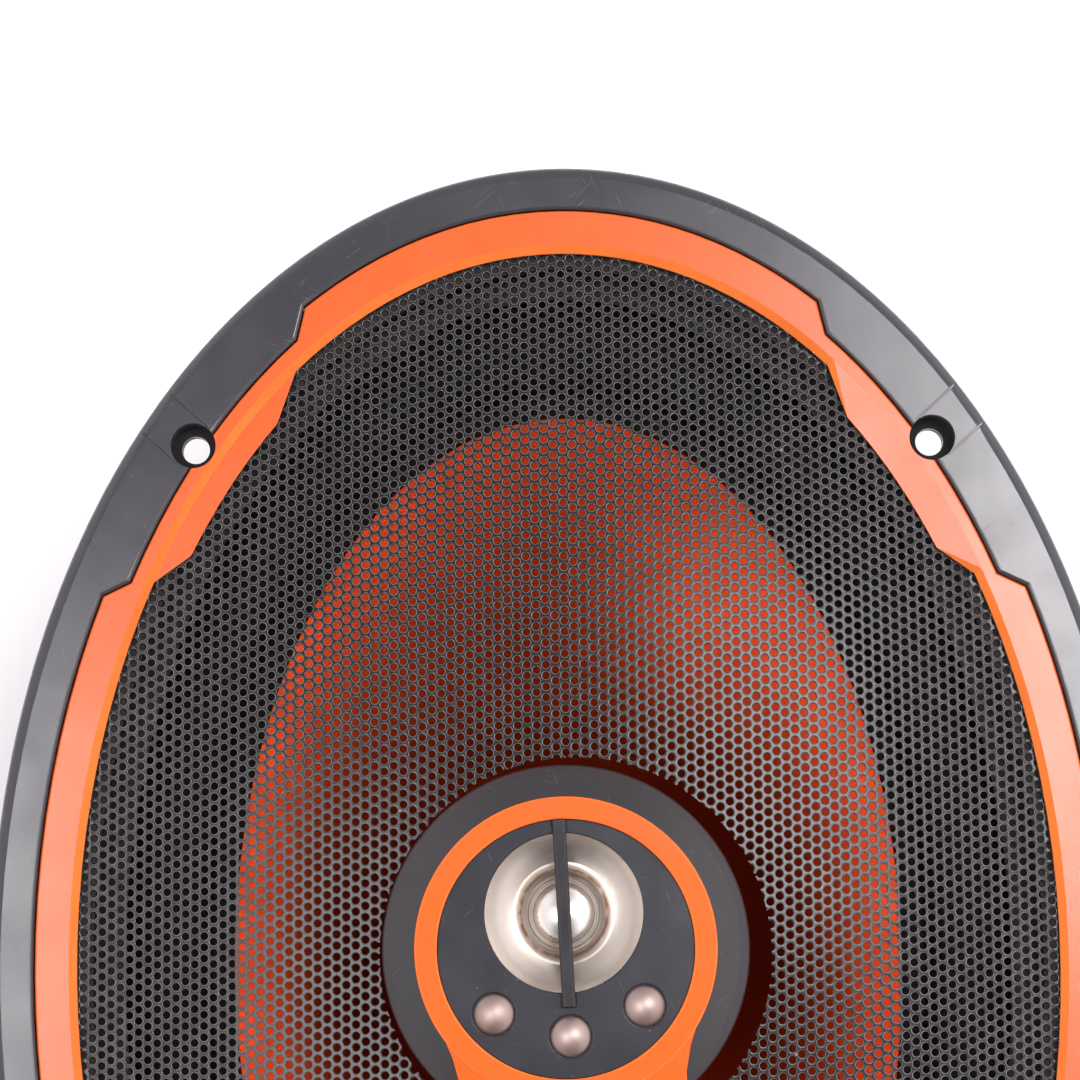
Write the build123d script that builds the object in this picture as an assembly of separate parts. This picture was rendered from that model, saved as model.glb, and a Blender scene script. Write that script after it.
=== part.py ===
from build123d import *

import os
from math import atan2, cos, degrees, radians, sin, sqrt

# Oval 6x9-inch coaxial car speaker, in millimetres.
# The origin is the centre of the four mounting screws, on the rear face of the basket's flange.
# +Z points out of the front of the speaker and +Y along its long axis.

# ---- driving dimensions -------------------------------------------------------------------------

# outline of the front trim (semi-axes of ovals: X, then Y)
TRIM_OVAL = (85.3, 118.9)
TRIM_FACE = 6.5
TRIM_SKIRT = 0.2
TRIM_WALL = 2.0
FLANGE_OVAL = (83.2, 116.8)
FLANGE_THICK = 1.2

# four mounting screws, with a counterbored well in the trim
SCREW_X = 55.5
SCREW_Y = 76.5
SCREW_HOLE_R = 2.1
WELL_R = 3.4
WELL_FLOOR = 2.0
WELL_BOSS_R = 5.2
TAB_ANGLE = 42.4
TAB_LINE_GAP = 7.1
TAB_LINE_SIZE = 0.3
TAB_LINE_LENGTH = 14.0
TRIM_INNER_ROUND = 0.5
TRIM_OUTER_ROUND = 1.8
TRIM_ROOF = 1.8
POCKET_WALL = 1.6

# orange accent ring: full ovals, the smaller ovals beside the screws, and where they step
RING_OUTER = (78.5, 112.0)
RING_OUTER_STEPPED = (75.3, 108.9)
RING_INNER = (72.5, 105.7)
RING_INNER_STEPPED = (69.1, 102.2)
RING_RIDGE = (73.5, 106.8)
OUTER_STEP_TOP = ((38.6, 97.6), (39.9, 92.1))
OUTER_STEP_SIDE = ((69.1, 53.7), (64.5, 55.9))
INNER_STEP_TOP = ((40.3, 87.7), (43.0, 80.0))
INNER_STEP_SIDE = ((61.8, 55.8), (56.1, 59.9))
STEP_FACET = 1.0
STEP_REACH_OUT = 14.0
STEP_REACH_IN = 5.0
RING_TOP = 6.1
RING_SEAT = 3.5
RING_LIP = 4.4
RING_BEVEL_FOOT = 4.7
RING_GAP = 0.25
RING_LIP_WIDTH = 0.4
RING_EDGE = 0.25

# domed grille, clamped between the ring and the trim's ledge
GRILLE_RIM = (74.2, 108.2)
GRILLE_DOME = (71.8, 104.7)
GRILLE_THICK = 0.5
GRILLE_RISE = 9.4
GRILLE_OPENING_R = 28.5
GRILLE_OPENING_PLACE = (1.1, 0.1)
GRILLE_SEAT = 3.0
LEDGE_OVAL = (70.3, 103.6)
GRILLE_GAP = 0.3

# basket, below the flange
SHEET = 1.2
STEP_OVAL = (72.5, 107.0)
STEP_FLOOR = -7.0
BOWL_TOP = (66.7, 100.7)
BOWL_MIDDLE = (61.5, 84.0)
BOWL_MIDDLE_Z = -22.0
SHELF_R = 48.9
SHELF_Z = -38.0
SHELF_INNER_R = 41.0
SEAT_Z = -47.0
COIL_OPENING_R = 17.5
WINDOW_WIDTH = 21.0
WINDOW_TOP = -12.0
WINDOW_BOTTOM = -34.0
WINDOW_CORNER_R = 5.0
WINDOW_DEPTH = 14.0
WINDOW_TURNS = (22.0, 45.0, 68.0)

# cone and its suspension
CONE_OVAL = (50.3, 82.3)
CONE_RIM = 3.3
CONE_TOP = -7.0
CONE_MIDDLE = (31.5, 45.0)
CONE_MIDDLE_Z = -14.6
CONE_NECK_Z = -27.0
CONE_THICK = 0.9
CONE_COLLAR = 1.5
LIP_THICK = 0.6
ROLL_CREST = (59.7, 92.6)
ROLL_OUTER = (65.6, 99.4)
ROLL_CREST_Z = -1.6
SURROUND_OVAL = (71.0, 105.5)
GASKET_INNER = (66.4, 100.2)
GASKET_THICK = 3.0

# voice coil and motor
FORMER_R = 15.5
FORMER_WALL = 0.3
FORMER_TOP = -26.2
FORMER_BOTTOM = -57.0
WINDING_R = 16.0
WINDING_TOP = -46.2
WINDING_BOTTOM = -56.2
SPIDER_R = 46.5
SPIDER_ROLLS = 6
SPIDER_MID_Z = -37.4
SPIDER_ROLL_HEIGHT = 0.9
SPIDER_CLOTH = 0.6
SPIDER_COLLAR = 1.5
SPIDER_FIRST_ROLL_R = 17.0
SPIDER_LAST_ROLL_R = 41.0
PLATE_R = 41.0
PLATE_THICK = 6.0
MAGNET_R = 45.0
MAGNET_HOLE_R = 22.0
MAGNET_THICK = 15.0
TOP_PLATE_HOLE_R = 16.6
POLE_R = 14.75
POLE_BORE_R = 4.1
RIVET_CIRCLE_R = 30.0
RIVET_R = 2.5
RIVET_HEAD_R = 4.0
RIVET_HEAD = 1.0
MAGNET_EDGE = 0.8

# rubber boot over the magnet, with room under it for the tweeter cable
BOOT_R = 47.4
BOOT_WALL = 2.2
BOOT_TOP = -55.5
BOOT_BACK = -81.4
BOOT_FLOOR = 1.8
BOOT_EDGE_R = 2.5
BOOT_LIP_R = 0.8
BOOT_RIBS = 8
BOOT_RIB_WIDTH = 1.8
BOOT_RECESS_R = 14.0
BOOT_GROOVE = (34.0, 33.0)
BOOT_GROOVE_DEPTH = 0.5
CABLE_SLOT_WIDTH = 3.0

# hollow centre post that carries the pod
POST_R = 6.0
POST_END_R = 4.0
POST_BORE_R = 2.2
NUT_FLATS = 13.0
NUT_THICK = 3.2
NUT_POCKET_R = 8.1

# tweeter pod: a round housing turned slightly on its post
POD_TURN = 2.6
POD_SHIFT = (-0.35, 0.75)
POD_R = 26.5
POD_BASE_Z = 0.0
POD_BASE_THICK = 2.0
POD_EDGE_R = 25.0
POD_SHOULDER_Z = 16.4
POD_EDGE_Z = 18.0
POD_BAND_TOP_Z = 19.3
POD_RING_R = 21.7
POD_RING_SEAT_Z = 18.0
POD_RING_TOP_Z = 19.9
POD_RING_EDGE = 0.25
POD_FACE_R = 18.5
POD_FACE_Z = 19.0
POD_FACE_THICK = 1.5
POD_WALL = 2.0
POD_SHOULDER_ROUND = 0.9
FACE_LEDGE = 1.6
TAIL_THICK = 0.5
TAIL_RISE = 0.25
TAIL_OVERHANG = 0.75
TAIL_HALF_WIDTH = 16.2
TAIL_FLARE = ((18.6, -9.5), (17.9, -12.2), (17.0, -14.6))
POD_SCREW_CIRCLE_R = 20.5
POD_SCREW_R = 1.1
POD_SCREW_HOLE_R = 1.5
POD_SCREW_HEAD_R = 2.4
POD_SCREW_HEAD = 1.2
POD_SCREW_TIP_Z = 10.0
POD_BOSS_R = 2.9
POD_RIM_HEIGHT = 2.0
POD_RIM_THICK = 1.5

# tweeter, set off towards the top of the pod
TWEETER_Y = 5.1
DISH_R = 11.4
DISH_RIM_Z = 18.9
DISH_VALLEY_R = 7.4
DISH_VALLEY_Z = 16.2
DISH_LIP_R = 6.0
DISH_LIP_Z = 16.9
DISH_THROAT_R = 5.6
SUSPENSION_Z = 15.6
SUSPENSION_R = 6.6
SUSPENSION_ROLL = (4.65, 5.25)
DOME_R = 4.4
DOME_RISE = 2.0
DOME_FOIL = 0.2
TWEETER_COIL_DEPTH = 2.6
TWEETER_COIL_WALL = 0.3
TWEETER_CUP_R = 8.2
TWEETER_CUP_BOTTOM = 9.8
TWEETER_CUP_FLOOR = 11.0
TWEETER_MAGNET_TOP = 13.6
TWEETER_POLE_THICK = 1.4
LUG_HEIGHT = 2.6
LUG_Y = (10.0, 11.0)
LUG_X = 0.8
LUG_HALF_WIDTH = 0.6
BRIDGE_WIDTH = 1.95
BRIDGE_TOP_Z = 20.0
BRIDGE_BOTTOM_Z = 18.4
BRIDGE_LOW_Y = -8.3
BRIDGE_BED = 0.5
BRIDGE_GAP = 0.12
BRIDGE_EDGE = 0.3

# three small dome capsules along the lower edge of the pod's face
CAPSULE_PLACES = {"left": (-10.8, -8.75), "centre": (0.0, -12.5), "right": (10.8, -8.75)}
CAPSULE_R = 2.9
CAPSULE_RECESS_R = 3.2
CAPSULE_RECESS = 0.7
CAPSULE_DEPTH = 6.0
CAPSULE_RISE = 1.1

# terminals, on a tab of the basket at +X
TAB_END_X = 65.0
TAB_HALF_WIDTH = 12.0
BOARD_START_X = 53.0
BOARD_THICK = 1.6
SPADE_Y = 6.2
SPADE_START_X = 57.0
SPADE_END_X = 72.0
SPADE_THICK = 0.8
SPADE_WIDTHS = {"positive": 6.3, "negative": 4.8}
SPADE_HOLE_R = 0.85
SPADE_HOLE_X = 68.7
TERMINAL_RIVET_X = 60.5
TERMINAL_RIVET_R = 1.4
TERMINAL_HEAD_R = 2.2
TERMINAL_HEAD = 0.6
LEAD_SLOT_HALF_WIDTH = 9.0
LEAD_SLOT_TOP = -32.0
LEAD_R = 0.7
CAPACITOR_R = 4.0
CAPACITOR_START_X = 54.5
CAPACITOR_END_X = 67.5
CAPACITOR_Z = -43.4
WIRE_R = 0.4
CABLE_R = 1.1
CABLE_X = 49.3
CABLE_BEND_R = 3.4
CABLE_TURN = 3.6
CABLE_END = (-0.8, 10.6)
BOOT_CABLE_ROOM = 3.1
LEAD_BEND_R = 8.0
WIRE_BEND_R = 1.4

QUADRANTS = ((1, 1), (-1, 1), (-1, -1), (1, -1))
LEFT_AND_RIGHT = (1, -1)
TINY = 0.01


# ---- small helpers ------------------------------------------------------------------------------

def at(z):
    return Plane.XY.offset(z)


def grown(oval, amount):
    return (oval[0] + amount, oval[1] + amount)


def slab(face, low, high):
    """Flat-sided solid of the face's outline between two heights."""
    return extrude(at(low) * face, amount=high - low)


def disc(radius, low, high, x=0.0, y=0.0):
    return slab(Pos(x, y) * Circle(radius), low, high)


def tube(outer, inner, low, high):
    return disc(outer, low, high) - disc(inner, low - 1, high + 1)


def oval_slab(oval, low, high):
    return slab(Ellipse(*oval), low, high)


def oval_band(outer, inner, low, high):
    return oval_slab(outer, low, high) - oval_slab(inner, low - 1, high + 1)


def oval_loft(*sections):
    """Smooth solid through ovals, each given as (oval, height)."""
    return loft([at(z) * Ellipse(*oval) for oval, z in sections])


def block(x_range, y_range, z_range):
    size = [high - low for low, high in (x_range, y_range, z_range)]
    centre = [(high + low) / 2 for low, high in (x_range, y_range, z_range)]
    return Pos(*centre) * Box(*size)


def turned(*corners):
    """Solid of revolution about Z from the (radius, height) corners of its section."""
    section = make_face(Polyline(*corners, close=True))
    return revolve(Plane.XZ * section, Axis.Z)


def turned_edges(*edges):
    """Solid of revolution about Z from the lines and arcs of its section, in (radius, height)."""
    return revolve(Plane.XZ * make_face(list(edges)), Axis.Z)


def beyond(start, end, distance):
    """The point that lies the distance past end, on the line from start."""
    length = sqrt((end[0] - start[0]) ** 2 + (end[1] - start[1]) ** 2)
    share = distance / length
    return (end[0] + (end[0] - start[0]) * share, end[1] + (end[1] - start[1]) * share)


def pipe(radius, corners, bend_radius):
    """Round rod along straight runs joined by tangent arcs."""
    radii = [bend_radius] * (len(corners) - 2)
    path = FilletPolyline(*corners, radius=radii) if radii else Polyline(*corners)
    start = Plane(origin=path @ 0, z_dir=path % 0)
    return sweep(start * Circle(radius), path=path)


def pod_turned(shape):
    return Pos(*POD_SHIFT) * Rot(0, 0, POD_TURN) * shape


def screw_places():
    return [(sx * SCREW_X, sy * SCREW_Y) for sx, sy in QUADRANTS]


# ---- the stepped outlines beside the screws -----------------------------------------------------

def step_face(top_step, side_step, flip_x, flip_y):
    """Area beside one screw where the full oval gives way to the smaller one."""
    top_outer, top_inner = top_step
    side_outer, side_inner = side_step
    corners = [
        beyond(top_inner, top_outer, STEP_REACH_OUT),
        beyond(top_outer, top_inner, STEP_REACH_IN),
        beyond(side_outer, side_inner, STEP_REACH_IN),
        beyond(side_inner, side_outer, STEP_REACH_OUT),
    ]
    corners = [(flip_x * x, flip_y * y) for x, y in corners]
    return make_face(Polyline(*corners, close=True))


def stepped_oval(full, stepped, top_step, side_step, growth=0.0):
    """Oval outline that drops to a smaller oval beside each of the four screws."""
    outline = Ellipse(*grown(full, growth))
    top_step = tuple((x + growth, y) for x, y in top_step)
    side_step = tuple((x, y + growth) for x, y in side_step)
    for flip_x, flip_y in QUADRANTS:
        outline -= step_face(top_step, side_step, flip_x, flip_y)
    return outline + Ellipse(*grown(stepped, growth))


def ring_outer_outline(growth=0.0):
    return stepped_oval(RING_OUTER, RING_OUTER_STEPPED, OUTER_STEP_TOP, OUTER_STEP_SIDE, growth)


def ring_inner_outline():
    return stepped_oval(RING_INNER, RING_INNER_STEPPED, INNER_STEP_TOP, INNER_STEP_SIDE)


def ring_bevel_space():
    """What the ring's inner bevel leaves open: narrow along the ring, wide beside the screws."""
    drop = RING_TOP - RING_BEVEL_FOOT
    narrow = oval_loft((RING_INNER, RING_BEVEL_FOOT), (RING_RIDGE, RING_TOP))
    wide = oval_loft((RING_INNER_STEPPED, RING_BEVEL_FOOT), (RING_RIDGE, RING_TOP))
    facet_angle = degrees(atan2(STEP_FACET, drop))
    for flip_x, flip_y in QUADRANTS:
        face = step_face(INNER_STEP_TOP, INNER_STEP_SIDE, flip_x, flip_y)
        narrow -= extrude(at(RING_BEVEL_FOOT) * face, amount=drop, taper=facet_angle)
    return narrow + wide


# ---- front: trim, accent ring, grille, gasket ---------------------------------------------------

def tab_lines():
    """Two fine grooves from each well out to the rim, which mark a square tab."""
    lines = []
    length = TAB_LINE_LENGTH
    for flip_x, flip_y in QUADRANTS:
        angle = atan2(flip_y * sin(radians(TAB_ANGLE)), flip_x * cos(radians(TAB_ANGLE)))
        for side in LEFT_AND_RIGHT:
            groove = Pos(length / 2, side * TAB_LINE_GAP / 2) * Box(
                length, TAB_LINE_SIZE, 2 * TAB_LINE_SIZE
            )
            place = Pos(flip_x * SCREW_X, flip_y * SCREW_Y, TRIM_FACE)
            lines.append(place * Rot(0, 0, degrees(angle)) * groove)
    return lines


def make_trim_frame():
    """Moulded oval frame: hollow below, with a pocket for the ring and a ledge for the grille."""
    pocket = ring_outer_outline(RING_GAP)
    frame = slab(Ellipse(*TRIM_OVAL), TRIM_SKIRT, TRIM_FACE)
    frame -= slab(pocket, RING_SEAT, TRIM_FACE + 1)
    top_edges = frame.faces().sort_by(Axis.Z)[-1]
    frame = fillet(top_edges.inner_wires()[0].edges(), TRIM_INNER_ROUND)
    top_edges = frame.faces().sort_by(Axis.Z)[-1]
    frame = fillet(top_edges.outer_wire().edges(), TRIM_OUTER_ROUND)
    frame -= oval_slab(grown(GRILLE_RIM, GRILLE_GAP), GRILLE_SEAT, TRIM_FACE)
    frame -= oval_slab(LEDGE_OVAL, TRIM_SKIRT - 1, TRIM_FACE)
    frame -= oval_slab(grown(FLANGE_OVAL, 0.15), TRIM_SKIRT - 1, FLANGE_THICK)
    channel_outline = Ellipse(*grown(TRIM_OVAL, -TRIM_WALL)) - ring_outer_outline(POCKET_WALL)
    channel = slab(channel_outline, FLANGE_THICK, TRIM_FACE - TRIM_ROOF)
    for x, y in screw_places():
        channel -= disc(WELL_BOSS_R, 0, TRIM_FACE, x, y)
    frame -= channel
    for x, y in screw_places():
        frame -= disc(WELL_R, WELL_FLOOR, TRIM_FACE + 1, x, y)
        frame -= disc(SCREW_HOLE_R, -1, TRIM_FACE, x, y)
    for groove in tab_lines():
        frame -= groove
    return frame


def make_accent_ring():
    """Orange ring with a bevel inside and a step beside each screw."""
    ring = slab(ring_outer_outline(), RING_SEAT, RING_TOP)
    top_edges = ring.faces().sort_by(Axis.Z)[-1]
    ring = chamfer(top_edges.outer_wire().edges(), RING_EDGE)
    ring -= slab(ring_inner_outline(), RING_SEAT - 1, RING_BEVEL_FOOT + TINY)
    ring -= oval_slab(grown(RING_INNER, RING_LIP_WIDTH), RING_SEAT - 1, RING_LIP)
    ring -= ring_bevel_space()
    for x, y in screw_places():
        ring -= disc(WELL_R, 0, RING_TOP + 1, x, y)
    return ring


def make_grille():
    """Domed sheet with a flat rim; its fine round perforations are left out here."""
    rim_r, dome_r = GRILLE_RIM[0], GRILLE_DOME[0]
    low, high = GRILLE_SEAT, GRILLE_SEAT + GRILLE_THICK
    shoulder = dome_r / sqrt(2)
    shoulder_rise = GRILLE_RISE / 2
    lower = ThreePointArc((0, low + GRILLE_RISE), (shoulder, low + shoulder_rise), (dome_r, low))
    upper = ThreePointArc((0, high + GRILLE_RISE), (shoulder, high + shoulder_rise), (dome_r, high))
    dome = turned_edges(
        lower,
        Line((dome_r, low), (rim_r, low)),
        Line((rim_r, low), (rim_r, high)),
        Line((rim_r, high), (dome_r, high)),
        upper,
        Line((0, high + GRILLE_RISE), (0, low + GRILLE_RISE)),
    )
    dome = scale(dome, by=(1, GRILLE_RIM[1] / rim_r, 1))
    dome -= disc(GRILLE_OPENING_R, 0, low + 2 * GRILLE_RISE, *GRILLE_OPENING_PLACE)
    for x, y in screw_places():
        dome -= disc(WELL_R + GRILLE_GAP, 0, TRIM_FACE, x, y)
    return dome


def make_front_gasket():
    top = STEP_FLOOR + LIP_THICK + GASKET_THICK
    return oval_band(grown(SURROUND_OVAL, 0.2), GASKET_INNER, STEP_FLOOR + LIP_THICK, top)


# ---- basket -------------------------------------------------------------------------------------

def bowl(shrink, top, bottom):
    """The basket's bowl, from the oval ledge down to the round shelf."""
    return oval_loft(
        (grown(BOWL_TOP, -shrink), top),
        (grown(BOWL_MIDDLE, -shrink), BOWL_MIDDLE_Z),
        ((SHELF_R - shrink, SHELF_R - shrink), bottom),
    )


def basket_windows():
    """Twelve rounded windows, three in each quarter, cut square to the bowl."""
    a, b = BOWL_MIDDLE
    height = WINDOW_TOP - WINDOW_BOTTOM
    outline = RectangleRounded(WINDOW_WIDTH, height, WINDOW_CORNER_R)
    windows = []
    for flip_x, flip_y in QUADRANTS:
        for turn in WINDOW_TURNS:
            x = flip_x * a * cos(radians(turn))
            y = flip_y * b * sin(radians(turn))
            normal = (x / a**2, y / b**2, 0)
            centre = (x, y, (WINDOW_TOP + WINDOW_BOTTOM) / 2)
            place = Plane(origin=centre, x_dir=(0, 0, 1), z_dir=normal)
            windows.append(extrude(place * Rot(0, 0, 90) * outline, amount=WINDOW_DEPTH, both=True))
    return windows


def make_basket():
    """Pressed steel frame: flange, step, windowed bowl, spider shelf, motor seat and terminal tab."""
    under_step = STEP_FLOOR - SHEET
    under_shelf = SHELF_Z - SHEET
    under_seat = SEAT_Z - SHEET
    basket = oval_slab(FLANGE_OVAL, 0, FLANGE_THICK)
    basket += oval_slab(STEP_OVAL, under_step, TINY)
    basket -= oval_slab(grown(STEP_OVAL, -SHEET), STEP_FLOOR, FLANGE_THICK + 1)
    basket += bowl(0, under_step + TINY, SHELF_Z)
    basket += disc(SHELF_R, under_shelf, SHELF_Z + TINY)
    basket -= bowl(SHEET, STEP_FLOOR + 1, SHELF_Z)
    for window in basket_windows():
        basket -= window
    basket += disc(SHELF_INNER_R + SHEET, under_seat, SHELF_Z)
    basket -= disc(SHELF_INNER_R, SEAT_Z, SHELF_Z + 1)
    tab = block((SHELF_R - 4, TAB_END_X), (-TAB_HALF_WIDTH, TAB_HALF_WIDTH), (under_shelf, SHELF_Z))
    basket += tab - disc(SHELF_R - 2, under_shelf - 1, SHELF_Z + 1)
    slot_width = (-LEAD_SLOT_HALF_WIDTH, LEAD_SLOT_HALF_WIDTH)
    basket -= block((SHELF_R - 8, SHELF_R + 8), slot_width, (SHELF_Z, LEAD_SLOT_TOP))
    basket -= disc(COIL_OPENING_R, under_seat - 1, SEAT_Z + 1)
    for x, y in screw_places():
        basket -= disc(SCREW_HOLE_R, -1, FLANGE_THICK + 1, x, y)
    for x, y in rivet_places():
        basket -= disc(RIVET_R, under_seat - 1, SEAT_Z + 1, x, y)
    for side in LEFT_AND_RIGHT:
        basket -= disc(TERMINAL_RIVET_R, under_shelf - 1, SHELF_Z + 1, TERMINAL_RIVET_X, side * SPADE_Y)
    return basket


def rivet_places():
    turns = [radians(45 + 90 * i) for i in range(4)]
    return [(RIVET_CIRCLE_R * cos(turn), RIVET_CIRCLE_R * sin(turn)) for turn in turns]


def make_basket_rivets():
    """Four rivets that hold the basket's seat to the top plate."""
    bottom = SEAT_Z - SHEET - PLATE_THICK + RIVET_HEAD
    rivets = []
    for x, y in rivet_places():
        head = disc(RIVET_HEAD_R, SEAT_Z, SEAT_Z + RIVET_HEAD, x, y)
        rivets.append(disc(RIVET_R, bottom, SEAT_Z, x, y) + head)
    return Compound(rivets)


# ---- cone, surround, spider, voice coil ---------------------------------------------------------

def cone_funnel(drop):
    """Solid funnel under the cone's front surface, lowered by the drop."""
    return oval_loft(
        (CONE_OVAL, CONE_TOP - drop),
        (CONE_MIDDLE, CONE_MIDDLE_Z - drop),
        ((FORMER_R, FORMER_R), CONE_NECK_Z - drop),
    )


def make_cone():
    """Oval cone that narrows to a round neck, with a flat rim for the surround."""
    cone = cone_funnel(CONE_THICK) + oval_slab(
        grown(CONE_OVAL, CONE_RIM), CONE_TOP - CONE_THICK, CONE_TOP
    )
    cone += disc(FORMER_R + CONE_THICK, CONE_NECK_Z - CONE_THICK - CONE_COLLAR, CONE_NECK_Z)
    cone -= cone_funnel(0)
    return cone - disc(FORMER_R, FORMER_BOTTOM, FORMER_TOP)


def roll(thinner):
    """Half roll between the cone's rim and the outer lip, as a solid ridge."""
    base = CONE_TOP
    crest_z = ROLL_CREST_Z - thinner
    half_z = base + (crest_z - base) * 0.8
    inner = grown(CONE_OVAL, CONE_RIM + thinner)
    outer = grown(ROLL_OUTER, -thinner)
    inner_half = [i * 0.75 + c * 0.25 for i, c in zip(inner, ROLL_CREST)]
    outer_half = [o * 0.75 + c * 0.25 for o, c in zip(outer, ROLL_CREST)]
    mound = oval_loft((outer, base), (outer_half, half_z), (grown(ROLL_CREST, 0.3), crest_z))
    hollow = oval_loft((inner, base), (inner_half, half_z), (grown(ROLL_CREST, -0.3), crest_z))
    return mound - hollow


def make_surround():
    """Rubber half-roll edge with a flat lip on the cone and another on the basket's ledge."""
    low, high = STEP_FLOOR, STEP_FLOOR + LIP_THICK
    outer_lip = oval_band(SURROUND_OVAL, grown(ROLL_OUTER, -LIP_THICK), low, high)
    inner_lip = oval_band(grown(CONE_OVAL, CONE_RIM + LIP_THICK), CONE_OVAL, low, high)
    return (roll(0) - roll(LIP_THICK)) + outer_lip + inner_lip


def spider_curve(offset):
    """Wavy section line of the spider, as a chain of arcs."""
    pitch = (SPIDER_LAST_ROLL_R - SPIDER_FIRST_ROLL_R) / SPIDER_ROLLS
    arcs = []
    for i in range(2 * SPIDER_ROLLS):
        start = SPIDER_FIRST_ROLL_R + i * pitch / 2
        height = SPIDER_ROLL_HEIGHT if i % 2 == 0 else -SPIDER_ROLL_HEIGHT
        low = SPIDER_MID_Z - offset
        crest = (start + pitch / 4, low + height)
        arcs.append(ThreePointArc((start, low), crest, (start + pitch / 2, low)))
    return arcs


def make_spider():
    """Corrugated cloth disc between the coil former and the basket's shelf."""
    top, low = SPIDER_MID_Z, SPIDER_MID_Z - SPIDER_CLOTH
    first, last = SPIDER_FIRST_ROLL_R, SPIDER_LAST_ROLL_R
    section = [Line((first, low), (first, top)), *spider_curve(0), Line((last, top), (last, low))]
    web = turned_edges(*section, *spider_curve(SPIDER_CLOTH))
    collar = tube(first + TINY, FORMER_R + 2 * TINY, low - 0.5, top + SPIDER_COLLAR)
    lip = tube(SPIDER_R, last - TINY, low, top)
    return web + collar + lip


def make_voice_coil_former():
    return tube(FORMER_R, FORMER_R - FORMER_WALL, FORMER_BOTTOM, FORMER_TOP)


def make_voice_coil_winding():
    return tube(WINDING_R, FORMER_R, WINDING_BOTTOM, WINDING_TOP)


# ---- motor --------------------------------------------------------------------------------------

TOP_PLATE_TOP = SEAT_Z - SHEET
MAGNET_TOP = TOP_PLATE_TOP - PLATE_THICK
BACK_PLATE_TOP = MAGNET_TOP - MAGNET_THICK
BACK_PLATE_BOTTOM = BACK_PLATE_TOP - PLATE_THICK
NUT_TOP = BACK_PLATE_BOTTOM + NUT_THICK + 0.5


def make_top_plate():
    plate = tube(PLATE_R, TOP_PLATE_HOLE_R, MAGNET_TOP, TOP_PLATE_TOP)
    for x, y in rivet_places():
        plate -= disc(RIVET_R, MAGNET_TOP + RIVET_HEAD, TOP_PLATE_TOP + 1, x, y)
    return plate


def make_ferrite_magnet():
    ring = tube(MAGNET_R, MAGNET_HOLE_R, BACK_PLATE_TOP, MAGNET_TOP)
    return chamfer(ring.edges().filter_by(GeomType.CIRCLE), MAGNET_EDGE)


def make_yoke():
    """Back plate and pole in one piece, bored for the post, with a pocket for the rear nut."""
    yoke = disc(PLATE_R, BACK_PLATE_BOTTOM, BACK_PLATE_TOP)
    yoke += disc(POLE_R, BACK_PLATE_TOP, TOP_PLATE_TOP)
    yoke -= disc(POLE_BORE_R, BACK_PLATE_BOTTOM - 1, TOP_PLATE_TOP + 1)
    return yoke - disc(NUT_POCKET_R, BACK_PLATE_BOTTOM - 1, NUT_TOP)


def make_magnet_boot():
    """Rubber cup over the magnet, with ribs behind the back plate and a way out for the cable."""
    inner_r = BOOT_R - BOOT_WALL
    floor = BOOT_BACK + BOOT_FLOOR
    boot = disc(BOOT_R, BOOT_BACK, BOOT_TOP)
    boot = fillet(boot.faces().sort_by(Axis.Z)[0].edges(), BOOT_EDGE_R)
    boot = fillet(boot.faces().sort_by(Axis.Z)[-1].edges(), BOOT_LIP_R)
    boot -= disc(inner_r, floor, BOOT_TOP + 1)
    half_rib = BOOT_RIB_WIDTH / 2
    turn = 360 / BOOT_RIBS
    for i in range(BOOT_RIBS):
        rib_run = (BOOT_RECESS_R, inner_r + TINY)
        rib = block(rib_run, (-half_rib, half_rib), (floor - TINY, BACK_PLATE_BOTTOM))
        boot += Rot(0, 0, turn * (i + 0.5)) * rib
    boot -= tube(*BOOT_GROOVE, BOOT_BACK - 1, BOOT_BACK + BOOT_GROOVE_DEPTH)
    boot -= disc(BOOT_RECESS_R, BOOT_BACK - 1, BOOT_BACK + BOOT_GROOVE_DEPTH)
    half_slot = CABLE_SLOT_WIDTH / 2
    return boot - block((inner_r - 1, BOOT_R + 1), (-half_slot, half_slot), (floor, BACK_PLATE_BOTTOM))


# ---- centre post --------------------------------------------------------------------------------

POD_BASE_TOP = POD_BASE_Z + POD_BASE_THICK
POST_BOTTOM = BACK_PLATE_BOTTOM + 0.3
POST_TOP = POD_BASE_TOP + NUT_THICK + 0.3


def make_center_post():
    """Hollow post through the pole, threaded at both ends."""
    post = disc(POST_END_R, POST_BOTTOM, POST_TOP)
    post += disc(POST_R, TOP_PLATE_TOP, POD_BASE_Z)
    return post - disc(POST_BORE_R, POST_BOTTOM - 1, POST_TOP + 1)


def hex_nut(low):
    nut = slab(RegularPolygon(NUT_FLATS / 2, 6, major_radius=False), low, low + NUT_THICK)
    return nut - disc(POST_END_R, low - 1, low + NUT_THICK + 1)


def make_post_nuts():
    return Compound([hex_nut(NUT_TOP - NUT_THICK), hex_nut(POD_BASE_TOP)])


# ---- tweeter pod --------------------------------------------------------------------------------

def pod_screw_places():
    turns = [radians(30 + 120 * i) for i in range(3)]
    return [(POD_SCREW_CIRCLE_R * cos(turn), POD_SCREW_CIRCLE_R * sin(turn)) for turn in turns]


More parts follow.
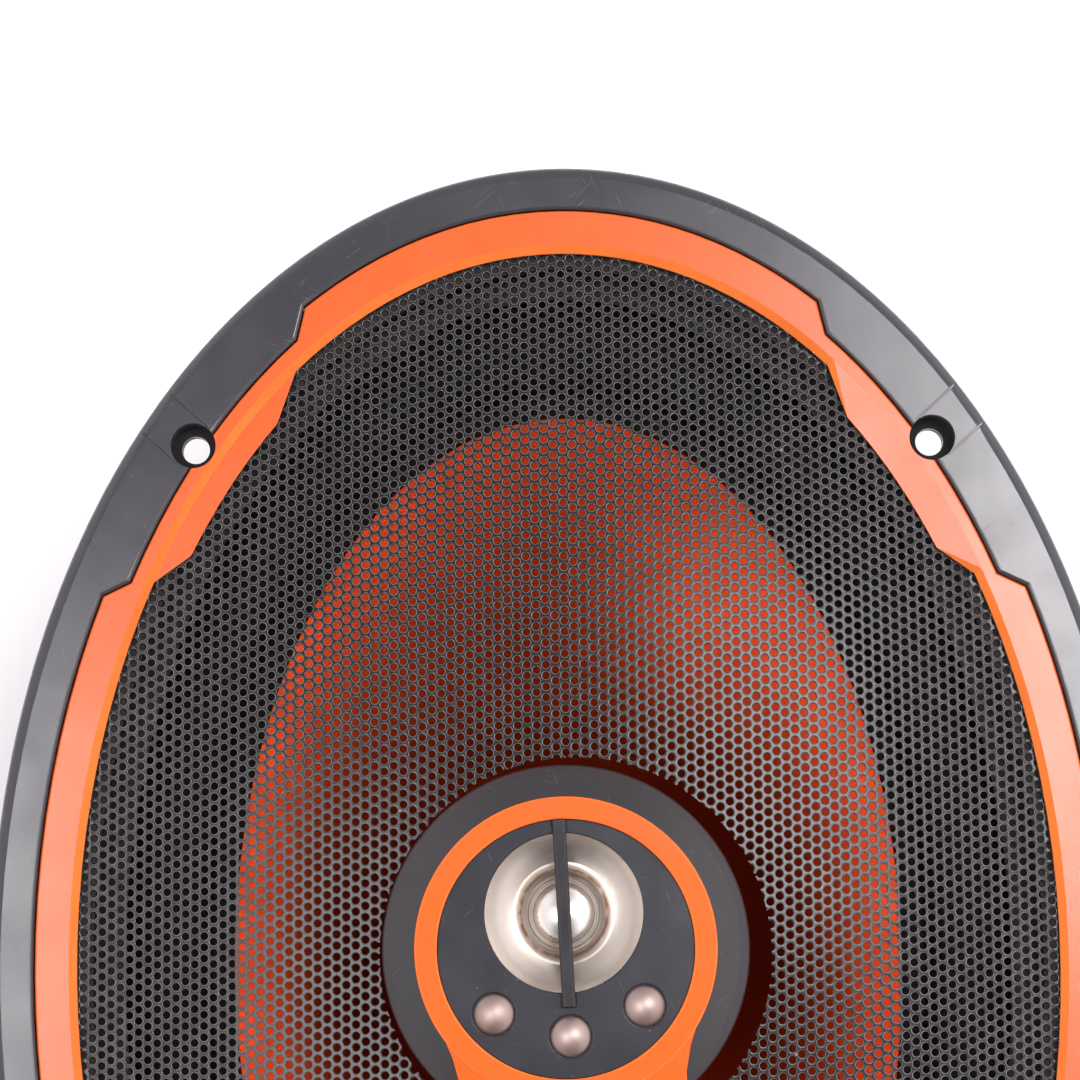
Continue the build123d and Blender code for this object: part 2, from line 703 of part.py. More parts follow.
def make_pod_base():
    """Round back cover of the pod, on the post, with a rim that fits inside the housing."""
    base = disc(POD_R, POD_BASE_Z, POD_BASE_TOP)
    base = fillet(base.faces().sort_by(Axis.Z)[0].edges(), 1.5)
    rim_r = POD_R - POD_WALL - 0.1
    base += tube(rim_r, rim_r - POD_RIM_THICK, POD_BASE_TOP - TINY, POD_BASE_TOP + POD_RIM_HEIGHT)
    for x, y in pod_screw_places():
        base -= disc(POD_BOSS_R + 0.3, POD_BASE_TOP, POD_BASE_TOP + 2 * POD_RIM_HEIGHT, x, y)
        base -= disc(POD_SCREW_HOLE_R, POD_BASE_Z - 1, POD_BASE_TOP + 1, x, y)
    return pod_turned(base) - disc(POST_END_R, POD_BASE_Z - 1, POD_BASE_TOP + 1)


def make_pod_housing():
    """Black shell of the pod: round wall, bevelled edge, sloping band and seats for ring and face."""
    face_seat = POD_FACE_Z - POD_FACE_THICK
    seat_r = POD_RING_R + 0.05
    housing = turned(
        (POD_R, POD_BASE_TOP),
        (POD_R, POD_SHOULDER_Z),
        (POD_EDGE_R, POD_EDGE_Z),
        (seat_r, POD_BAND_TOP_Z),
        (seat_r, POD_RING_SEAT_Z),
        (POD_FACE_R, POD_RING_SEAT_Z),
        (POD_FACE_R, face_seat),
        (POD_FACE_R - FACE_LEDGE, face_seat),
        (POD_FACE_R - FACE_LEDGE, face_seat - FACE_LEDGE),
        (POD_R - POD_WALL, face_seat - 2 * FACE_LEDGE),
        (POD_R - POD_WALL, POD_BASE_TOP),
    )
    shoulder = housing.edges().filter_by(GeomType.CIRCLE).group_by(Axis.Z)
    shoulder = [e for group in shoulder for e in group if abs(e.center().Z - POD_SHOULDER_Z) < TINY]
    housing = fillet(shoulder, POD_SHOULDER_ROUND)
    for x, y in pod_screw_places():
        boss = disc(POD_BOSS_R, POD_BASE_TOP, face_seat - FACE_LEDGE, x, y)
        boss -= disc(POD_SCREW_R, POD_BASE_Z, POD_SCREW_TIP_Z + 2, x, y)
        housing += boss & disc(POD_R - POD_WALL + 0.5, POD_BASE_TOP, POD_FACE_Z)
    housing -= tail_slab()
    return pod_turned(housing)


def tail_slab():
    """Sloping slab that the ring's tail fills, across the band and over the pod's lower edge."""
    rise = TAIL_RISE
    corners = [*TAIL_FLARE, (TAIL_HALF_WIDTH, -18.3), (TAIL_HALF_WIDTH, -POD_R - 3)]
    corners += [(-x, y) for x, y in reversed(corners)]
    outline = make_face(Polyline(*corners, close=True))
    band = turned(
        (POD_FACE_R + 0.5, POD_BAND_TOP_Z - TAIL_THICK),
        (POD_FACE_R + 0.5, POD_BAND_TOP_Z + rise + 0.2),
        (POD_RING_R, POD_BAND_TOP_Z + rise),
        (POD_EDGE_R, POD_EDGE_Z + rise),
        (POD_EDGE_R + TAIL_OVERHANG, POD_EDGE_Z - 0.6 + rise),
        (POD_EDGE_R + TAIL_OVERHANG - TAIL_THICK, POD_EDGE_Z - 1.2),
        (POD_EDGE_R - 0.2, POD_EDGE_Z - TAIL_THICK),
        (POD_RING_R, POD_BAND_TOP_Z - TAIL_THICK),
    )
    return band & slab(outline, POD_BASE_TOP, POD_RING_TOP_Z)


def make_pod_ring():
    """Orange ring around the pod's face, with a broad tail at the bottom."""
    top, seat = POD_RING_TOP_Z, POD_RING_SEAT_Z
    edge = top - POD_RING_EDGE
    ring = turned(
        (POD_FACE_R, seat),
        (POD_RING_R, seat),
        (POD_RING_R, edge),
        (POD_RING_R - POD_RING_EDGE, top),
        (POD_FACE_R + POD_RING_EDGE, top),
        (POD_FACE_R, edge),
    )
    tail = tail_slab() - disc(POD_RING_R - 0.5, POD_BASE_TOP, top + 1)
    return pod_turned(ring + tail)


def bridge_bed():
    """Shallow straight recess in the pod's face, under the bridge."""
    half = BRIDGE_WIDTH / 2 + BRIDGE_GAP
    bed_z = (POD_FACE_Z - BRIDGE_BED, POD_FACE_Z + 1)
    return block((-half, half), (BRIDGE_LOW_Y - BRIDGE_GAP, POD_FACE_R), bed_z)


def make_pod_face():
    """Round face plate, cut out for the tweeter's dish, the three capsules and the bridge's ends."""
    face_r = POD_FACE_R - 0.08
    face = disc(face_r, POD_FACE_Z - POD_FACE_THICK, POD_FACE_Z)
    face -= disc(DISH_R + 0.1, 0, POD_FACE_Z + 1, 0, TWEETER_Y)
    for x, y in CAPSULE_PLACES.values():
        face -= disc(CAPSULE_RECESS_R, POD_FACE_Z - CAPSULE_RECESS, POD_FACE_Z + 1, x, y)
        face -= disc(CAPSULE_R + 0.05, 0, POD_FACE_Z + 1, x, y)
    return pod_turned(face - bridge_bed())


def make_tweeter_bridge():
    """Slim bar across the tweeter, let into the face plate at both ends."""
    half = BRIDGE_WIDTH / 2
    top_y = sqrt((POD_FACE_R - 0.1) ** 2 - half**2)
    bar = block((-half, half), (BRIDGE_LOW_Y, top_y), (BRIDGE_BOTTOM_Z, BRIDGE_TOP_Z))
    bar = chamfer(bar.edges().filter_by(Axis.Y).group_by(Axis.Z)[-1], BRIDGE_EDGE)
    bed_z = POD_FACE_Z - BRIDGE_BED
    ends = disc(POD_FACE_R, BRIDGE_BOTTOM_Z - 1, bed_z) - disc(DISH_R, 0, POD_FACE_Z, 0, TWEETER_Y)
    dish_rim = disc(DISH_R + 0.2, BRIDGE_BOTTOM_Z - 1, DISH_RIM_Z + 0.15, 0, TWEETER_Y)
    dish_rim -= disc(DISH_R - 2.2, 0, POD_FACE_Z + 1, 0, TWEETER_Y)
    return pod_turned(bar - ends - dish_rim)


def make_tweeter_dish():
    """Concave metallised dish around the dome, with a raised lip at its throat."""
    rim_z, valley_z, lip_z = DISH_RIM_Z, DISH_VALLEY_Z, DISH_LIP_Z
    under = 0.8
    skirt_r = DISH_VALLEY_R + 1.0
    floor = SUSPENSION_Z + 0.3
    dish = turned_edges(
        ThreePointArc((DISH_R, rim_z), (DISH_R - 1.9, rim_z - 1.75), (DISH_VALLEY_R, valley_z)),
        ThreePointArc((DISH_VALLEY_R, valley_z), (6.7, valley_z + 0.15), (DISH_LIP_R, lip_z)),
        Line((DISH_LIP_R, lip_z), (DISH_THROAT_R, lip_z - 0.3)),
        Line((DISH_THROAT_R, lip_z - 0.3), (DISH_THROAT_R, floor)),
        Line((DISH_THROAT_R, floor), (skirt_r, valley_z - under)),
        Line((skirt_r, valley_z - under), (DISH_R, rim_z - 1.4)),
        Line((DISH_R, rim_z - 1.4), (DISH_R, rim_z)),
    )
    return pod_turned(Pos(0, TWEETER_Y) * dish)


def make_tweeter_suspension():
    """Soft roll between the dome and the rim of the tweeter's cup."""
    top, low = SUSPENSION_Z, SUSPENSION_Z - DOME_FOIL
    inner, outer = DOME_R + 0.05, SUSPENSION_R
    roll_in, roll_out = SUSPENSION_ROLL
    ring = turned_edges(
        Line((inner, top), (roll_in, top)),
        ThreePointArc((roll_in, top), ((roll_in + roll_out) / 2, top + 0.3), (roll_out, top)),
        Line((roll_out, top), (outer, top)),
        Line((outer, top), (outer, low)),
        Line((outer, low), (inner, low)),
        Line((inner, low), (inner, top)),
    )
    return pod_turned(Pos(0, TWEETER_Y) * ring)


def dome_cap(radius, rise, base):
    """Solid spherical cap."""
    arc = ThreePointArc((0, base + rise), (radius * 0.6, base + rise * 0.66), (radius, base))
    return turned_edges(arc, Line((radius, base), (0, base)), Line((0, base), (0, base + rise)))


def make_tweeter_dome():
    outer = dome_cap(DOME_R, DOME_RISE, SUSPENSION_Z)
    inner = dome_cap(DOME_R - DOME_FOIL, DOME_RISE - DOME_FOIL, SUSPENSION_Z - TINY)
    return pod_turned(Pos(0, TWEETER_Y) * (outer - inner))


def make_tweeter_voice_coil():
    bottom = SUSPENSION_Z - TWEETER_COIL_DEPTH
    coil = tube(DOME_R, DOME_R - TWEETER_COIL_WALL, bottom, SUSPENSION_Z)
    return pod_turned(Pos(0, TWEETER_Y) * coil)


def make_tweeter_cup():
    """Steel cup behind the dome; its rim carries the suspension."""
    rim = SUSPENSION_Z - DOME_FOIL
    cup = disc(TWEETER_CUP_R, TWEETER_CUP_BOTTOM, rim)
    cup -= disc(DOME_R + 0.5, TWEETER_CUP_FLOOR, rim + 1)
    return pod_turned(Pos(0, TWEETER_Y) * cup)


def make_tweeter_magnet():
    magnet = disc(DOME_R - 0.9, TWEETER_CUP_FLOOR, TWEETER_MAGNET_TOP)
    return pod_turned(Pos(0, TWEETER_Y) * magnet)


def make_tweeter_pole_disc():
    pole = disc(DOME_R - 0.6, TWEETER_MAGNET_TOP, TWEETER_MAGNET_TOP + TWEETER_POLE_THICK)
    return pod_turned(Pos(0, TWEETER_Y) * pole)


def make_tweeter_lugs():
    """Two brass solder lugs under the cup, which the cable reaches."""
    heights = (TWEETER_CUP_BOTTOM - LUG_HEIGHT, TWEETER_CUP_BOTTOM)
    lugs = []
    for side in LEFT_AND_RIGHT:
        x = side * LUG_X
        lugs.append(block((x - LUG_HALF_WIDTH, x + LUG_HALF_WIDTH), LUG_Y, heights))
    return pod_turned(Compound(lugs))


def make_capsule(place):
    """Small metal capsule with a domed cap."""
    base = POD_FACE_Z - CAPSULE_RECESS / 2
    can = disc(CAPSULE_R, base - CAPSULE_DEPTH, base)
    return pod_turned(Pos(*place) * (can + dome_cap(CAPSULE_R, CAPSULE_RISE, base - TINY)))


def make_pod_screws():
    """Three screws that hold the pod's base to its housing."""
    screws = []
    for x, y in pod_screw_places():
        bottom = POD_BASE_Z - POD_SCREW_HEAD
        slot = block((x - 1.6, x + 1.6), (y - 0.3, y + 0.3), (bottom - 1, bottom + POD_SCREW_HEAD / 2))
        head = disc(POD_SCREW_HEAD_R, bottom, POD_BASE_Z, x, y) - slot
        screws.append(head + disc(POD_SCREW_R, POD_BASE_Z, POD_SCREW_TIP_Z, x, y))
    return pod_turned(Compound(screws))


# ---- terminals and wiring -----------------------------------------------------------------------

def make_terminal_board():
    low, high = SHELF_Z, SHELF_Z + BOARD_THICK
    board = block((BOARD_START_X, TAB_END_X), (-TAB_HALF_WIDTH, TAB_HALF_WIDTH), (low, high))
    board = fillet(board.edges().filter_by(Axis.Z), 1.0)
    for side in LEFT_AND_RIGHT:
        board -= disc(TERMINAL_RIVET_R, low - 1, high + 1, TERMINAL_RIVET_X, side * SPADE_Y)
    return board


def make_spade(side, width):
    """Flat push-on blade with a small locking hole, riveted to the board."""
    low = SHELF_Z + BOARD_THICK
    high = low + SPADE_THICK
    y = side * SPADE_Y
    spade = block((SPADE_START_X, SPADE_END_X), (y - width / 2, y + width / 2), (low, high))
    spade = chamfer(spade.edges().filter_by(Axis.Z).group_by(Axis.X)[-1], 1.0)
    spade -= disc(SPADE_HOLE_R, low - 1, high + 1, SPADE_HOLE_X, y)
    return spade - disc(TERMINAL_RIVET_R, low - 1, high + 1, TERMINAL_RIVET_X, y)


def make_terminal_rivets():
    """Two rivets through blade, board and basket tab."""
    low, high = SHELF_Z - SHEET, SHELF_Z + BOARD_THICK + SPADE_THICK
    rivets = []
    for side in LEFT_AND_RIGHT:
        y = side * SPADE_Y
        rivet = disc(TERMINAL_RIVET_R, low, high, TERMINAL_RIVET_X, y)
        rivet += disc(TERMINAL_HEAD_R, low - TERMINAL_HEAD, low, TERMINAL_RIVET_X, y)
        rivet += disc(TERMINAL_HEAD_R, high, high + TERMINAL_HEAD, TERMINAL_RIVET_X, y)
        rivets.append(rivet)
    return Compound(rivets)


def make_tinsel_lead(side):
    """Braided lead from a terminal to the coil former, slack enough for the cone's travel."""
    y = side * SPADE_Y
    start_z = SHELF_Z + BOARD_THICK + LEAD_R + TINY
    former_x = sqrt(FORMER_R**2 - (SPADE_Y - LEAD_R) ** 2) + 0.1
    route = [
        (SPADE_START_X, y, start_z),
        (46.0, y, start_z + 0.6),
        (36.0, y, start_z + 3.4),
        (26.0, y, start_z + 2.2),
        (former_x, y, start_z + 4.6),
    ]
    return pipe(LEAD_R, route, LEAD_BEND_R)


def make_capacitor():
    """Crossover capacitor under the terminal tab, with an axial lead at each end."""
    end_plane = Plane(origin=(CAPACITOR_START_X, 0, CAPACITOR_Z), z_dir=(1, 0, 0))
    can = extrude(end_plane * Circle(CAPACITOR_R), amount=CAPACITOR_END_X - CAPACITOR_START_X)
    can = fillet(can.edges().filter_by(GeomType.CIRCLE), 0.8)
    board_z = SHELF_Z + BOARD_THICK / 2
    lead_x = SPADE_END_X - 1.5
    cable_end = (CABLE_X + CABLE_TURN, 0, CAPACITOR_Z)
    near_lead = pipe(WIRE_R, [cable_end, (CAPACITOR_START_X, 0, CAPACITOR_Z)], 0)
    far_route = [
        (CAPACITOR_END_X, 0, CAPACITOR_Z),
        (lead_x, 0, CAPACITOR_Z),
        (lead_x, 0, board_z),
        (TAB_END_X, 0, board_z),
    ]
    return can + near_lead + pipe(WIRE_R, far_route, WIRE_BEND_R)


def make_tweeter_cable():
    """Cable from the tweeter down the hollow post, out behind the magnet and up to the capacitor."""
    cable_z = BACK_PLATE_BOTTOM - BOOT_CABLE_ROOM
    in_pod_z = TWEETER_CUP_BOTTOM - LUG_HEIGHT / 2
    route = [
        (*CABLE_END, in_pod_z),
        (0, 0, in_pod_z),
        (0, 0, cable_z),
        (CABLE_X, 0, cable_z),
        (CABLE_X, 0, CAPACITOR_Z),
        (CABLE_X + CABLE_TURN, 0, CAPACITOR_Z),
    ]
    return pipe(CABLE_R, route, CABLE_BEND_R)


# ---- all sub-parts ------------------------------------------------------------------------------

PARTS = {
    "trim_frame": make_trim_frame,
    "accent_ring": make_accent_ring,
    "grille_mesh": make_grille,
    "front_gasket": make_front_gasket,
    "basket": make_basket,
    "basket_rivets": make_basket_rivets,
    "cone": make_cone,
    "surround": make_surround,
    "spider": make_spider,
    "voice_coil_former": make_voice_coil_former,
    "voice_coil_winding": make_voice_coil_winding,
    "top_plate": make_top_plate,
    "ferrite_magnet": make_ferrite_magnet,
    "yoke": make_yoke,
    "magnet_boot": make_magnet_boot,
    "center_post": make_center_post,
    "post_nuts": make_post_nuts,
    "pod_base": make_pod_base,
    "pod_housing": make_pod_housing,
    "pod_ring": make_pod_ring,
    "pod_face": make_pod_face,
    "pod_screws": make_pod_screws,
    "tweeter_bridge": make_tweeter_bridge,
    "tweeter_dish": make_tweeter_dish,
    "tweeter_suspension": make_tweeter_suspension,
    "tweeter_dome": make_tweeter_dome,
    "tweeter_voice_coil": make_tweeter_voice_coil,
    "tweeter_cup": make_tweeter_cup,
    "tweeter_magnet": make_tweeter_magnet,
    "tweeter_pole_disc": make_tweeter_pole_disc,
    "tweeter_lugs": make_tweeter_lugs,
    "tweeter_cable": make_tweeter_cable,
    "crossover_capacitor": make_capacitor,
    "terminal_board": make_terminal_board,
    "terminal_rivets": make_terminal_rivets,
}
for name, place in CAPSULE_PLACES.items():
    PARTS[f"capsule_{name}"] = lambda place=place: make_capsule(place)
for side, (name, width) in zip(LEFT_AND_RIGHT, SPADE_WIDTHS.items()):
    PARTS[f"{name}_terminal"] = lambda side=side, width=width: make_spade(side, width)
    PARTS[f"tinsel_lead_{name}"] = lambda side=side: make_tinsel_lead(side)

os.makedirs("parts", exist_ok=True)
for name, make in PARTS.items():
    export_step(make(), f"parts/{name}.step")
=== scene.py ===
import math

import bpy
import numpy as np
from mathutils import Matrix, Vector


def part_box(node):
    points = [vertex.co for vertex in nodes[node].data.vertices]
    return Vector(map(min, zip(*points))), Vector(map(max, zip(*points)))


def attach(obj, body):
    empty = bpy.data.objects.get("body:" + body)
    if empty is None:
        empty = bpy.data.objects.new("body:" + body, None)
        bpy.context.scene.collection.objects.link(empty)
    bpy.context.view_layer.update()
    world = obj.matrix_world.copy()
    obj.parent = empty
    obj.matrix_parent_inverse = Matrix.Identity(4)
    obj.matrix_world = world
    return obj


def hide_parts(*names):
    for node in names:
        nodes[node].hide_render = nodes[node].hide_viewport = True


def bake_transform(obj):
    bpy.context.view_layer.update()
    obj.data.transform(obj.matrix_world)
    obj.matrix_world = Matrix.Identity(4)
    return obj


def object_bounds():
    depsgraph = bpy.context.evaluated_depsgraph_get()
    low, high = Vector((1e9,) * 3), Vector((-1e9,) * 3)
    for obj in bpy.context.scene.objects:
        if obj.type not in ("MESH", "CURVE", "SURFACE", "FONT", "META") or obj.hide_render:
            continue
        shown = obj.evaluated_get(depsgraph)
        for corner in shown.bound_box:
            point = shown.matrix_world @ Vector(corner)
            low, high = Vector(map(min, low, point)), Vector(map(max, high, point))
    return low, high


# Oval coaxial car speaker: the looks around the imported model. Lengths are in millimetres and are
# turned into metres by MM when they reach Blender.

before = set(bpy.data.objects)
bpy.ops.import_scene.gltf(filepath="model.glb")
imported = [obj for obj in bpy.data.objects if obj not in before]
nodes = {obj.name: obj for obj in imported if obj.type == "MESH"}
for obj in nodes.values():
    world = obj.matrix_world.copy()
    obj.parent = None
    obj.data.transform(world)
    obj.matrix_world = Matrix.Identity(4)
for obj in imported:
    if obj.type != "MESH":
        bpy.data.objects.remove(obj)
cad_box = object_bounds()

MM = 0.001


# ---- places read from the model ------------------------------------------------------------------

def box_mm(node):
    """A CAD node's low and high corners, in millimetres."""
    low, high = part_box(node)
    return Vector(low) / MM, Vector(high) / MM


def centre_mm(node):
    low, high = box_mm(node)
    return (low + high) / 2


# ---- materials -----------------------------------------------------------------------------------

def mixed(a, b, share):
    """The colour that lies a share of the way from a to b."""
    return tuple(x + (y - x) * share for x, y in zip(a, b))


class Finish:
    """A Principled material whose patterns are measured in millimetres on the object."""

    def __init__(self, name, colour, roughness, metallic=0.0, **sockets):
        self.material = bpy.data.materials.new(name)
        self.material.use_nodes = True
        self.tree = self.material.node_tree
        self.shader = self.tree.nodes["Principled BSDF"]
        self.colour = (*colour, 1.0)
        self.normal = None
        self.shader.inputs["Base Color"].default_value = self.colour
        self.shader.inputs["Roughness"].default_value = roughness
        self.shader.inputs["Metallic"].default_value = metallic
        for socket, value in sockets.items():
            self.shader.inputs[socket.replace("_", " ")].default_value = value
        self.place = self.node("ShaderNodeTexCoord").outputs["Object"]

    def node(self, kind, inputs=None, **settings):
        """Adds a node; each input is a value or another node's socket."""
        made = self.tree.nodes.new(kind)
        for key, value in settings.items():
            setattr(made, key, value)
        for key, value in (inputs or {}).items():
            self.feed(made.inputs[key], value)
        return made

    def feed(self, socket, value):
        if isinstance(value, bpy.types.NodeSocket):
            self.tree.links.new(value, socket)
        else:
            socket.default_value = value

    def spot(self, scale=(1, 1, 1), turn=(0, 0, 0), origin=(0, 0, 0)):
        """The place on the object in millimetres, from an origin, turned, then scaled."""
        mapping = self.node(
            "ShaderNodeMapping",
            {
                "Vector": self.place,
                "Location": tuple(value * MM for value in origin),
                "Rotation": turn,
                "Scale": tuple(MM / value for value in scale),
            },
            vector_type="TEXTURE",
        )
        return mapping.outputs["Vector"]

    def noise(self, size, detail=3.0, stretch=(1, 1, 1), turn=(0, 0, 0), origin=(0, 0, 0), harsh=0.5):
        """Soft random pattern whose features are about the size in millimetres."""
        made = self.node(
            "ShaderNodeTexNoise",
            {
                "Vector": self.spot(stretch, turn, origin),
                "Scale": 1.0 / size,
                "Detail": detail,
                "Roughness": harsh,
            },
        )
        return made.outputs["Fac"]

    def specks(self, spacing, radius, share, origin=(0, 0, 0)):
        """1 inside small round specks, of which a share of the cells holds one."""
        cells = self.node(
            "ShaderNodeTexVoronoi", {"Vector": self.spot(origin=origin), "Scale": 1.0 / spacing}
        )
        inside = self.level(cells.outputs["Distance"], radius / spacing, 0.6 * radius / spacing)
        chosen = self.math("LESS_THAN", self.part(cells.outputs["Color"], 0), share)
        return self.math("MULTIPLY", inside, chosen)

    def part(self, vector, index):
        """The x, y or z of a vector, by index."""
        return self.node("ShaderNodeSeparateXYZ", {0: vector}).outputs[index]

    def level(self, value, low, high, to_low=0.0, to_high=1.0):
        """The value from one range carried to another, and held at its ends."""
        made = self.node(
            "ShaderNodeMapRange",
            {"Value": value, "From Min": low, "From Max": high, "To Min": to_low, "To Max": to_high},
        )
        return made.outputs["Result"]

    def math(self, operation, a, b=0.0):
        return self.node("ShaderNodeMath", {0: a, 1: b}, operation=operation).outputs[0]

    def wave(self, scale, turn, distortion=0.0, detail=2.0, axis="X"):
        """Soft bands across an axis, turned in the plane of the speaker."""
        inputs = {"Vector": self.spot(turn=(0, 0, turn)), "Scale": scale}
        inputs.update(Distortion=distortion, Detail=detail)
        return self.node("ShaderNodeTexWave", inputs, bands_direction=axis).outputs["Fac"]

    def radius(self, centre, across=(1, 1, 0)):
        """Distance in millimetres from an axis through the centre, which is upright by default."""
        flat = self.node(
            "ShaderNodeVectorMath", {0: self.spot(origin=centre), 1: across}, operation="MULTIPLY"
        )
        return self.node("ShaderNodeVectorMath", {0: flat.outputs[0]}, operation="LENGTH").outputs["Value"]

    def steepness(self):
        """1 on faces that look up, 0 on upright ones."""
        return self.part(self.node("ShaderNodeNewGeometry").outputs["Normal"], 2)

    def tint(self, factor, colour):
        """Lays a colour over what the base colour already is, by the factor."""
        socket = self.shader.inputs["Base Color"]
        under = socket.links[0].from_socket if socket.is_linked else self.colour
        made = self.node("ShaderNodeMix", {"Factor": factor, 6: under, 7: (*colour, 1.0)}, data_type="RGBA")
        self.tree.links.new(made.outputs[2], socket)
        return self

    def rough(self, value, low=0.3, high=0.7, to_low=0.3, to_high=0.5):
        """Roughness that follows a pattern, between two ends."""
        self.feed(self.shader.inputs["Roughness"], self.level(value, low, high, to_low, to_high))
        return self

    def rougher(self, factor, amount):
        """Adds to the roughness where the factor is 1."""
        socket = self.shader.inputs["Roughness"]
        under = socket.links[0].from_socket if socket.is_linked else socket.default_value
        added = self.math("MULTIPLY", factor, amount)
        self.feed(socket, self.math("ADD", under, added))
        return self

    def bump(self, height, depth, strength=1.0):
        """Relief of the depth in millimetres, laid over any earlier relief."""
        inputs = {"Height": height, "Distance": depth * MM, "Strength": strength}
        if self.normal is not None:
            inputs["Normal"] = self.normal
        self.normal = self.node("ShaderNodeBump", inputs).outputs["Normal"]
        self.tree.links.new(self.normal, self.shader.inputs["Normal"])
        return self

    def soft_edges(self, radius):
        """Catches light along sharp edges, as a small round would."""
        bevel = self.node("ShaderNodeBevel", {"Radius": radius * MM}, samples=4)
        self.normal = bevel.outputs["Normal"]
        self.tree.links.new(self.normal, self.shader.inputs["Normal"])
        return self


def scratches(finish, length, width, share):
    """1 along a few short fine scratches in three directions."""
    total = None
    along = width / length
    for index, turn in enumerate((0.35, -0.9, 1.25)):
        streaks = finish.noise(width, 1.0, (1.0, along, along), (0, 0, turn), (13.0 * index, 0, 0), 0.4)
        place = finish.noise(6.0, 1.0, origin=(31.0 * index, 17.0, 0))
        lines = finish.level(streaks, share, share + 0.04)
        lines = finish.math("MULTIPLY", lines, finish.level(place, 0.56, 0.66))
        total = lines if total is None else finish.math("MAXIMUM", total, lines)
    return total


def black_plastic(name, colour, rough_range, grain=0.004, dust=0.08):
    """Satin moulded plastic with a fine grain, faint scratches and a little dust."""
    finish = Finish(name, colour, 0.4, IOR=1.5)
    finish.soft_edges(0.12)
    wear = finish.noise(9.0, 4.0)
    finish.rough(wear, 0.35, 0.65, *rough_range)
    marks = scratches(finish, 5.0, 0.12, 0.72)
    finish.rougher(marks, 0.15)
    finish.tint(finish.math("MULTIPLY", marks, 0.22), (0.20, 0.20, 0.21))
    finish.tint(finish.specks(1.9, 0.075, dust), (0.42, 0.40, 0.37))
    finish.tint(finish.specks(5.3, 0.16, dust, (4, 7, 2)), (0.30, 0.28, 0.25))
    finish.bump(finish.noise(0.22, 2.0), grain)
    finish.bump(wear, 0.02)
    return finish


LEDGE_TOP = 3.2
LEDGE_FADE = 0.3


def paint_ledge_shade(finish):
    """Paints shade on the trim's level faces up to the ledge's height, the ledge and the screw wells'
    floors: near-black colour and more roughness there.
    """
    low = finish.level(finish.part(finish.spot(), 2), LEDGE_TOP + LEDGE_FADE, LEDGE_TOP)
    painted_ledge_shade = finish.math("MULTIPLY", low, finish.level(finish.steepness(), 0.3, 0.6))
    # Painted shade: the sheltered ledge and the wells' floors are darkened to near black.
    finish.tint(painted_ledge_shade, (0.004, 0.004, 0.004))
    finish.rougher(painted_ledge_shade, 0.6)
    return finish


def orange_paint(name, colour, rough_range, index):
    """Satin orange lacquer with a fine flake, and a painted sheen that makes its slopes lighter and
    yellower.
    """
    finish = Finish(name, colour, 0.3, IOR=index)
    finish.soft_edges(0.08)
    # Painted sheen: sloping faces are tinted lighter and yellower, as if they caught the light.
    finish.tint(finish.level(finish.steepness(), 0.84, 0.45, 0.0, 0.75), (0.92, 0.33, 0.06))
    flake = finish.noise(0.10, 1.0)
    finish.tint(finish.level(flake, 0.52, 0.75, 0.0, 0.30), (0.98, 0.30, 0.10))
    cloud = finish.noise(14.0, 4.0)
    finish.tint(finish.level(cloud, 0.45, 0.75, 0.0, 0.35), (0.70, 0.085, 0.015))
    finish.tint(finish.specks(2.6, 0.07, 0.10), (0.10, 0.03, 0.02))
    finish.tint(finish.specks(7.0, 0.14, 0.12, (3, 1, 5)), (0.95, 0.70, 0.55))
    finish.rough(cloud, 0.3, 0.7, *rough_range)
    finish.bump(flake, 0.0015)
    finish.bump(finish.noise(1.1, 2.0), 0.006)
    return finish


def grille_paint():
    """Black paint over punched steel, with lighter, more reflective hole rims: partly rubbed paint, partly
    a painted highlight.
    """
    finish = Finish("grille_black_paint", (0.017, 0.0155, 0.0155), 0.16, IOR=1.52)
    slope = finish.steepness()
    below_top = finish.level(slope, 0.985, 0.93)
    above_wall = finish.level(slope, 0.55, 0.80)
    rim_wear_and_highlight = finish.math("MULTIPLY", below_top, above_wall)
    rim_wear_and_highlight = finish.math("MULTIPLY", rim_wear_and_highlight, finish.level(finish.noise(2.2, 3.0), 0.30, 0.60, 0.45, 1.0))
    patches = finish.noise(16.0, 4.0)
    finish.tint(finish.level(patches, 0.50, 0.75, 0.0, 0.30), (0.040, 0.034, 0.031))
    finish.tint(finish.specks(4.1, 0.25, 0.06), (0.24, 0.19, 0.15))
    # Partly wear and partly a painted highlight: the hole rims are tinted lighter.
    finish.tint(rim_wear_and_highlight, (0.16, 0.15, 0.15))
    finish.feed(finish.shader.inputs["Metallic"], finish.math("MULTIPLY", rim_wear_and_highlight, 0.35))
    finish.feed(finish.shader.inputs["Specular IOR Level"], finish.level(rim_wear_and_highlight, 0.0, 1.0, 0.25, 1.0))
    finish.rough(finish.noise(5.0, 3.0), 0.3, 0.7, 0.13, 0.20)
    finish.bump(finish.noise(0.16, 2.0), 0.0015)
    return finish


def cone_plastic():
    """Metallic orange polypropylene with a fine woven grain."""
    finish = Finish("cone_orange", (0.43, 0.040, 0.0072), 0.33, 0.80, IOR=1.3)
    cloud = finish.noise(11.0, 4.0)
    finish.tint(finish.level(cloud, 0.35, 0.75, 0.0, 0.40), (0.36, 0.022, 0.007))
    finish.rough(cloud, 0.3, 0.7, 0.29, 0.36)
    threads = [finish.wave(0.55, 0.785, axis=axis) for axis in "XY"]
    finish.bump(finish.math("MULTIPLY", *threads), 0.012, 0.6)
    finish.bump(finish.noise(0.4, 2.0), 0.01)
    return finish


